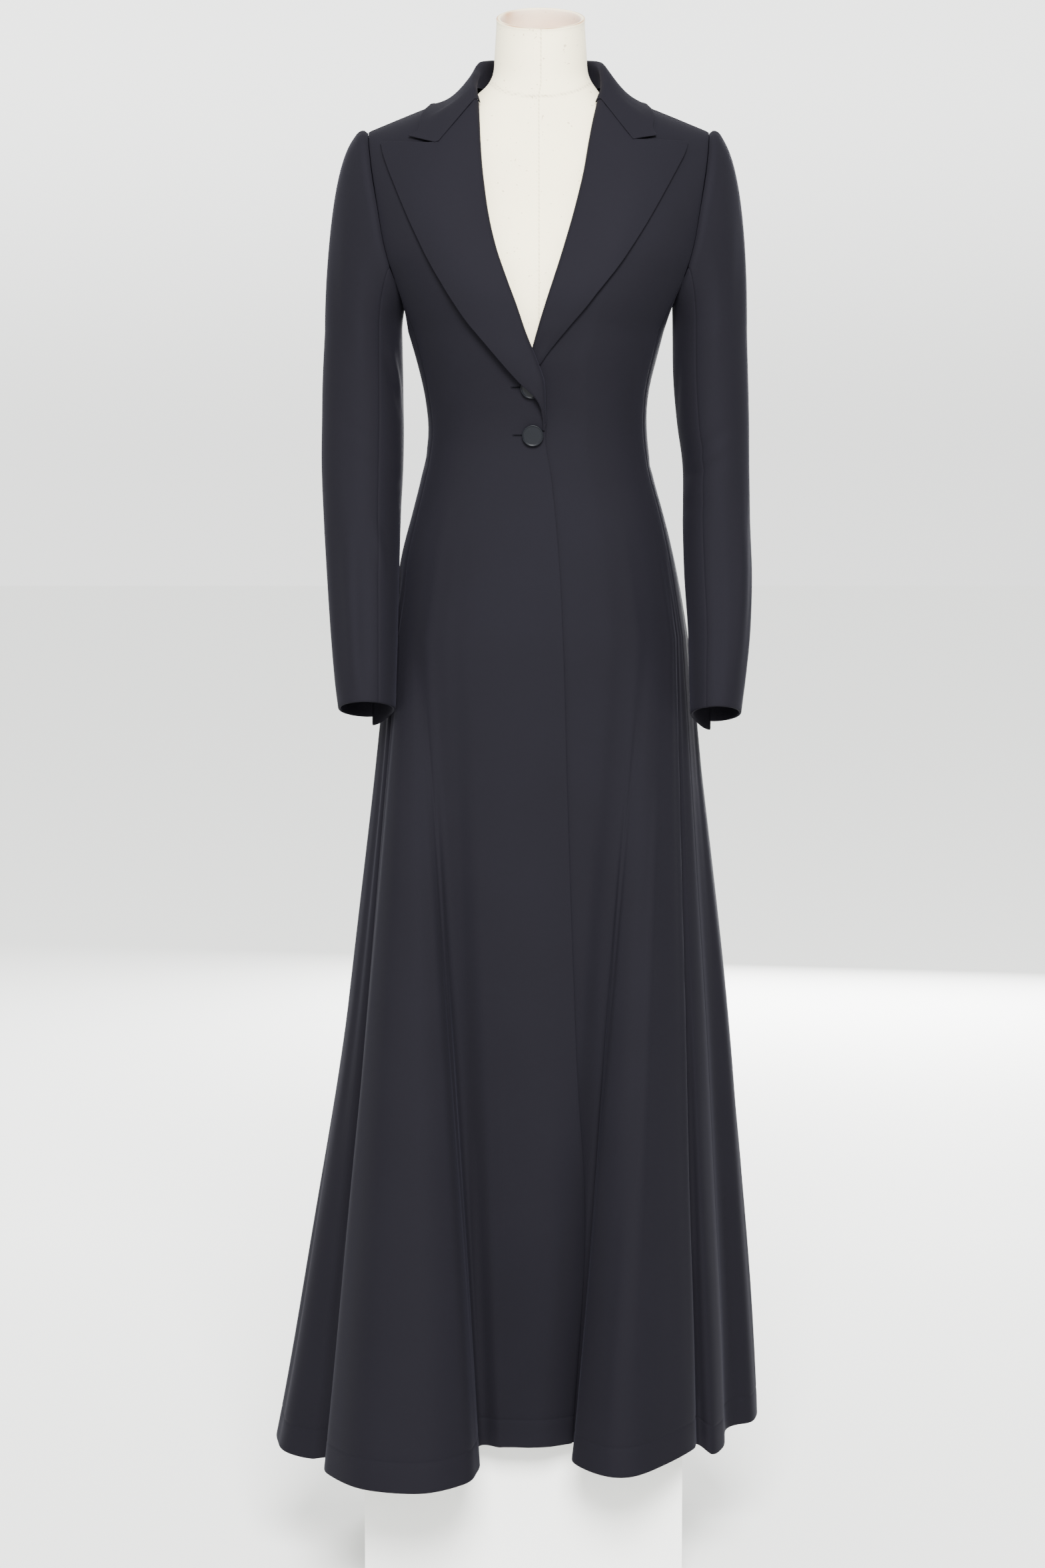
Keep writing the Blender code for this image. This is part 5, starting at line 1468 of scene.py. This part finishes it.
roomLook = {
    "floorSize": 60.0,
    # The floor's colour is painted darker in front of the stand as painted shade, and pale far off
    "floorFar": (0.955, 0.960, 0.945),
    "floorPaintedShade": (0.47, 0.475, 0.455),
    "shadeCentreLine": 1.0,          # the floor's painted shade is darkest this far before the stand
    "fadeSlope": 0.32, "fadeStart": 0.20,
    "worldColour": (0.955, 0.965, 0.945),
    "worldStrength": 2.3,
    "sideShade": 0.42, "leftwardLight": 0.22,
    "wallLift": 0.52,
    "wallFoot": 0.05,         # so that the wall meets the floor at the same brightness
    # name: place, aim, width, height, watts
    "lights": {
        "keyPanel": ((0.15, -3.8, 3.3), (0.0, 0.0, 1.05), 1.6, 1.6, 860),
        "backPanel": ((0.8, 4.2, 1.3), (0.0, 0.0, 0.95), 1.8, 1.8, 300),
    },
}


def addLight(name, place, aim, width, height, watts):
    light = bpy.data.lights.new(name, "AREA")
    light.shape = "RECTANGLE"
    light.size, light.size_y, light.energy = width, height, watts
    lamp = bpy.data.objects.new(name, light)
    lamp.location = place
    lamp.rotation_euler = (Vector(aim) - Vector(place)).to_track_quat("-Z", "Y").to_euler()
    bpy.context.scene.collection.objects.link(lamp)


for name, settings in roomLook["lights"].items():
    addLight(name, *settings)

# The room is dimmer at both sides, and its far wall brightens upward
world = bpy.data.worlds.new("paleRoom")
world.use_nodes = True
air = Nodes(world.node_tree)
toward = air.add("ShaderNodeTexCoord", {}, {}, "Generated")
acrossRoom, intoRoom, upRoom = partsOf(air, toward)
sideShade = 1 - acrossRoom * (acrossRoom * roomLook["sideShade"] + roomLook["leftwardLight"])
atWall = air.add("ShaderNodeMapRange", {"interpolation_type": "SMOOTHSTEP"}, {0: intoRoom, 1: 0.80, 2: 0.95})
rising = air.add("ShaderNodeMapRange", {"interpolation_type": "SMOOTHSTEP"}, {0: upRoom, 1: 0.0, 2: 0.13})
strength = (sideShade * (atWall * (rising * roomLook["wallLift"] - roomLook["wallFoot"]) + 1)
            * roomLook["worldStrength"])
background = air.nodes["Background"]
background.inputs["Color"].default_value = (*roomLook["worldColour"], 1)
air.links.new(strength.socket, background.inputs["Strength"])
bpy.context.scene.world = world

reach = roomLook["floorSize"] / 2
floorPaint = Paint("paleFloorPaintedShade", Roughness=0.9, Specular_IOR_Level=0.1)
floorPlace = floorPaint.add("ShaderNodeTexCoord", {}, {}, "Object")
floorAlong = partsOf(floorPaint, floorPlace)[1]
# Painted shade: the floor's colour is darkest along a line in front of the stand and pales away from it
floorShadeFade = abs(floorAlong + roomLook["shadeCentreLine"]) * roomLook["fadeSlope"] + roomLook["fadeStart"]
floorPaint.feed("Base Color", floorPaint.blend(floorShadeFade, roomLook["floorPaintedShade"], roomLook["floorFar"]))
floor = addMesh("floor", [(-reach, -reach, 0), (reach, -reach, 0), (reach, reach, 0), (-reach, reach, 0)],
                [(0, 1, 2, 3)], None, floorPaint.material)

cameraLook = {
    "place": (-0.001, -3.6, 1.25),
    "pitchDown": math.atan(476 / 4776),
    "lens": 73.1,
    "sensorHeight": 36.0,
}
cameraData = bpy.data.cameras.new("camera")
cameraData.sensor_fit = "VERTICAL"
cameraData.sensor_height = cameraLook["sensorHeight"]
cameraData.lens = cameraLook["lens"]
camera = bpy.data.objects.new("camera", cameraData)
camera.location = cameraLook["place"]
camera.rotation_euler = (math.pi / 2 - cameraLook["pitchDown"], 0, 0)
bpy.context.scene.collection.objects.link(camera)
bpy.context.scene.camera = camera

print("camera and room set")
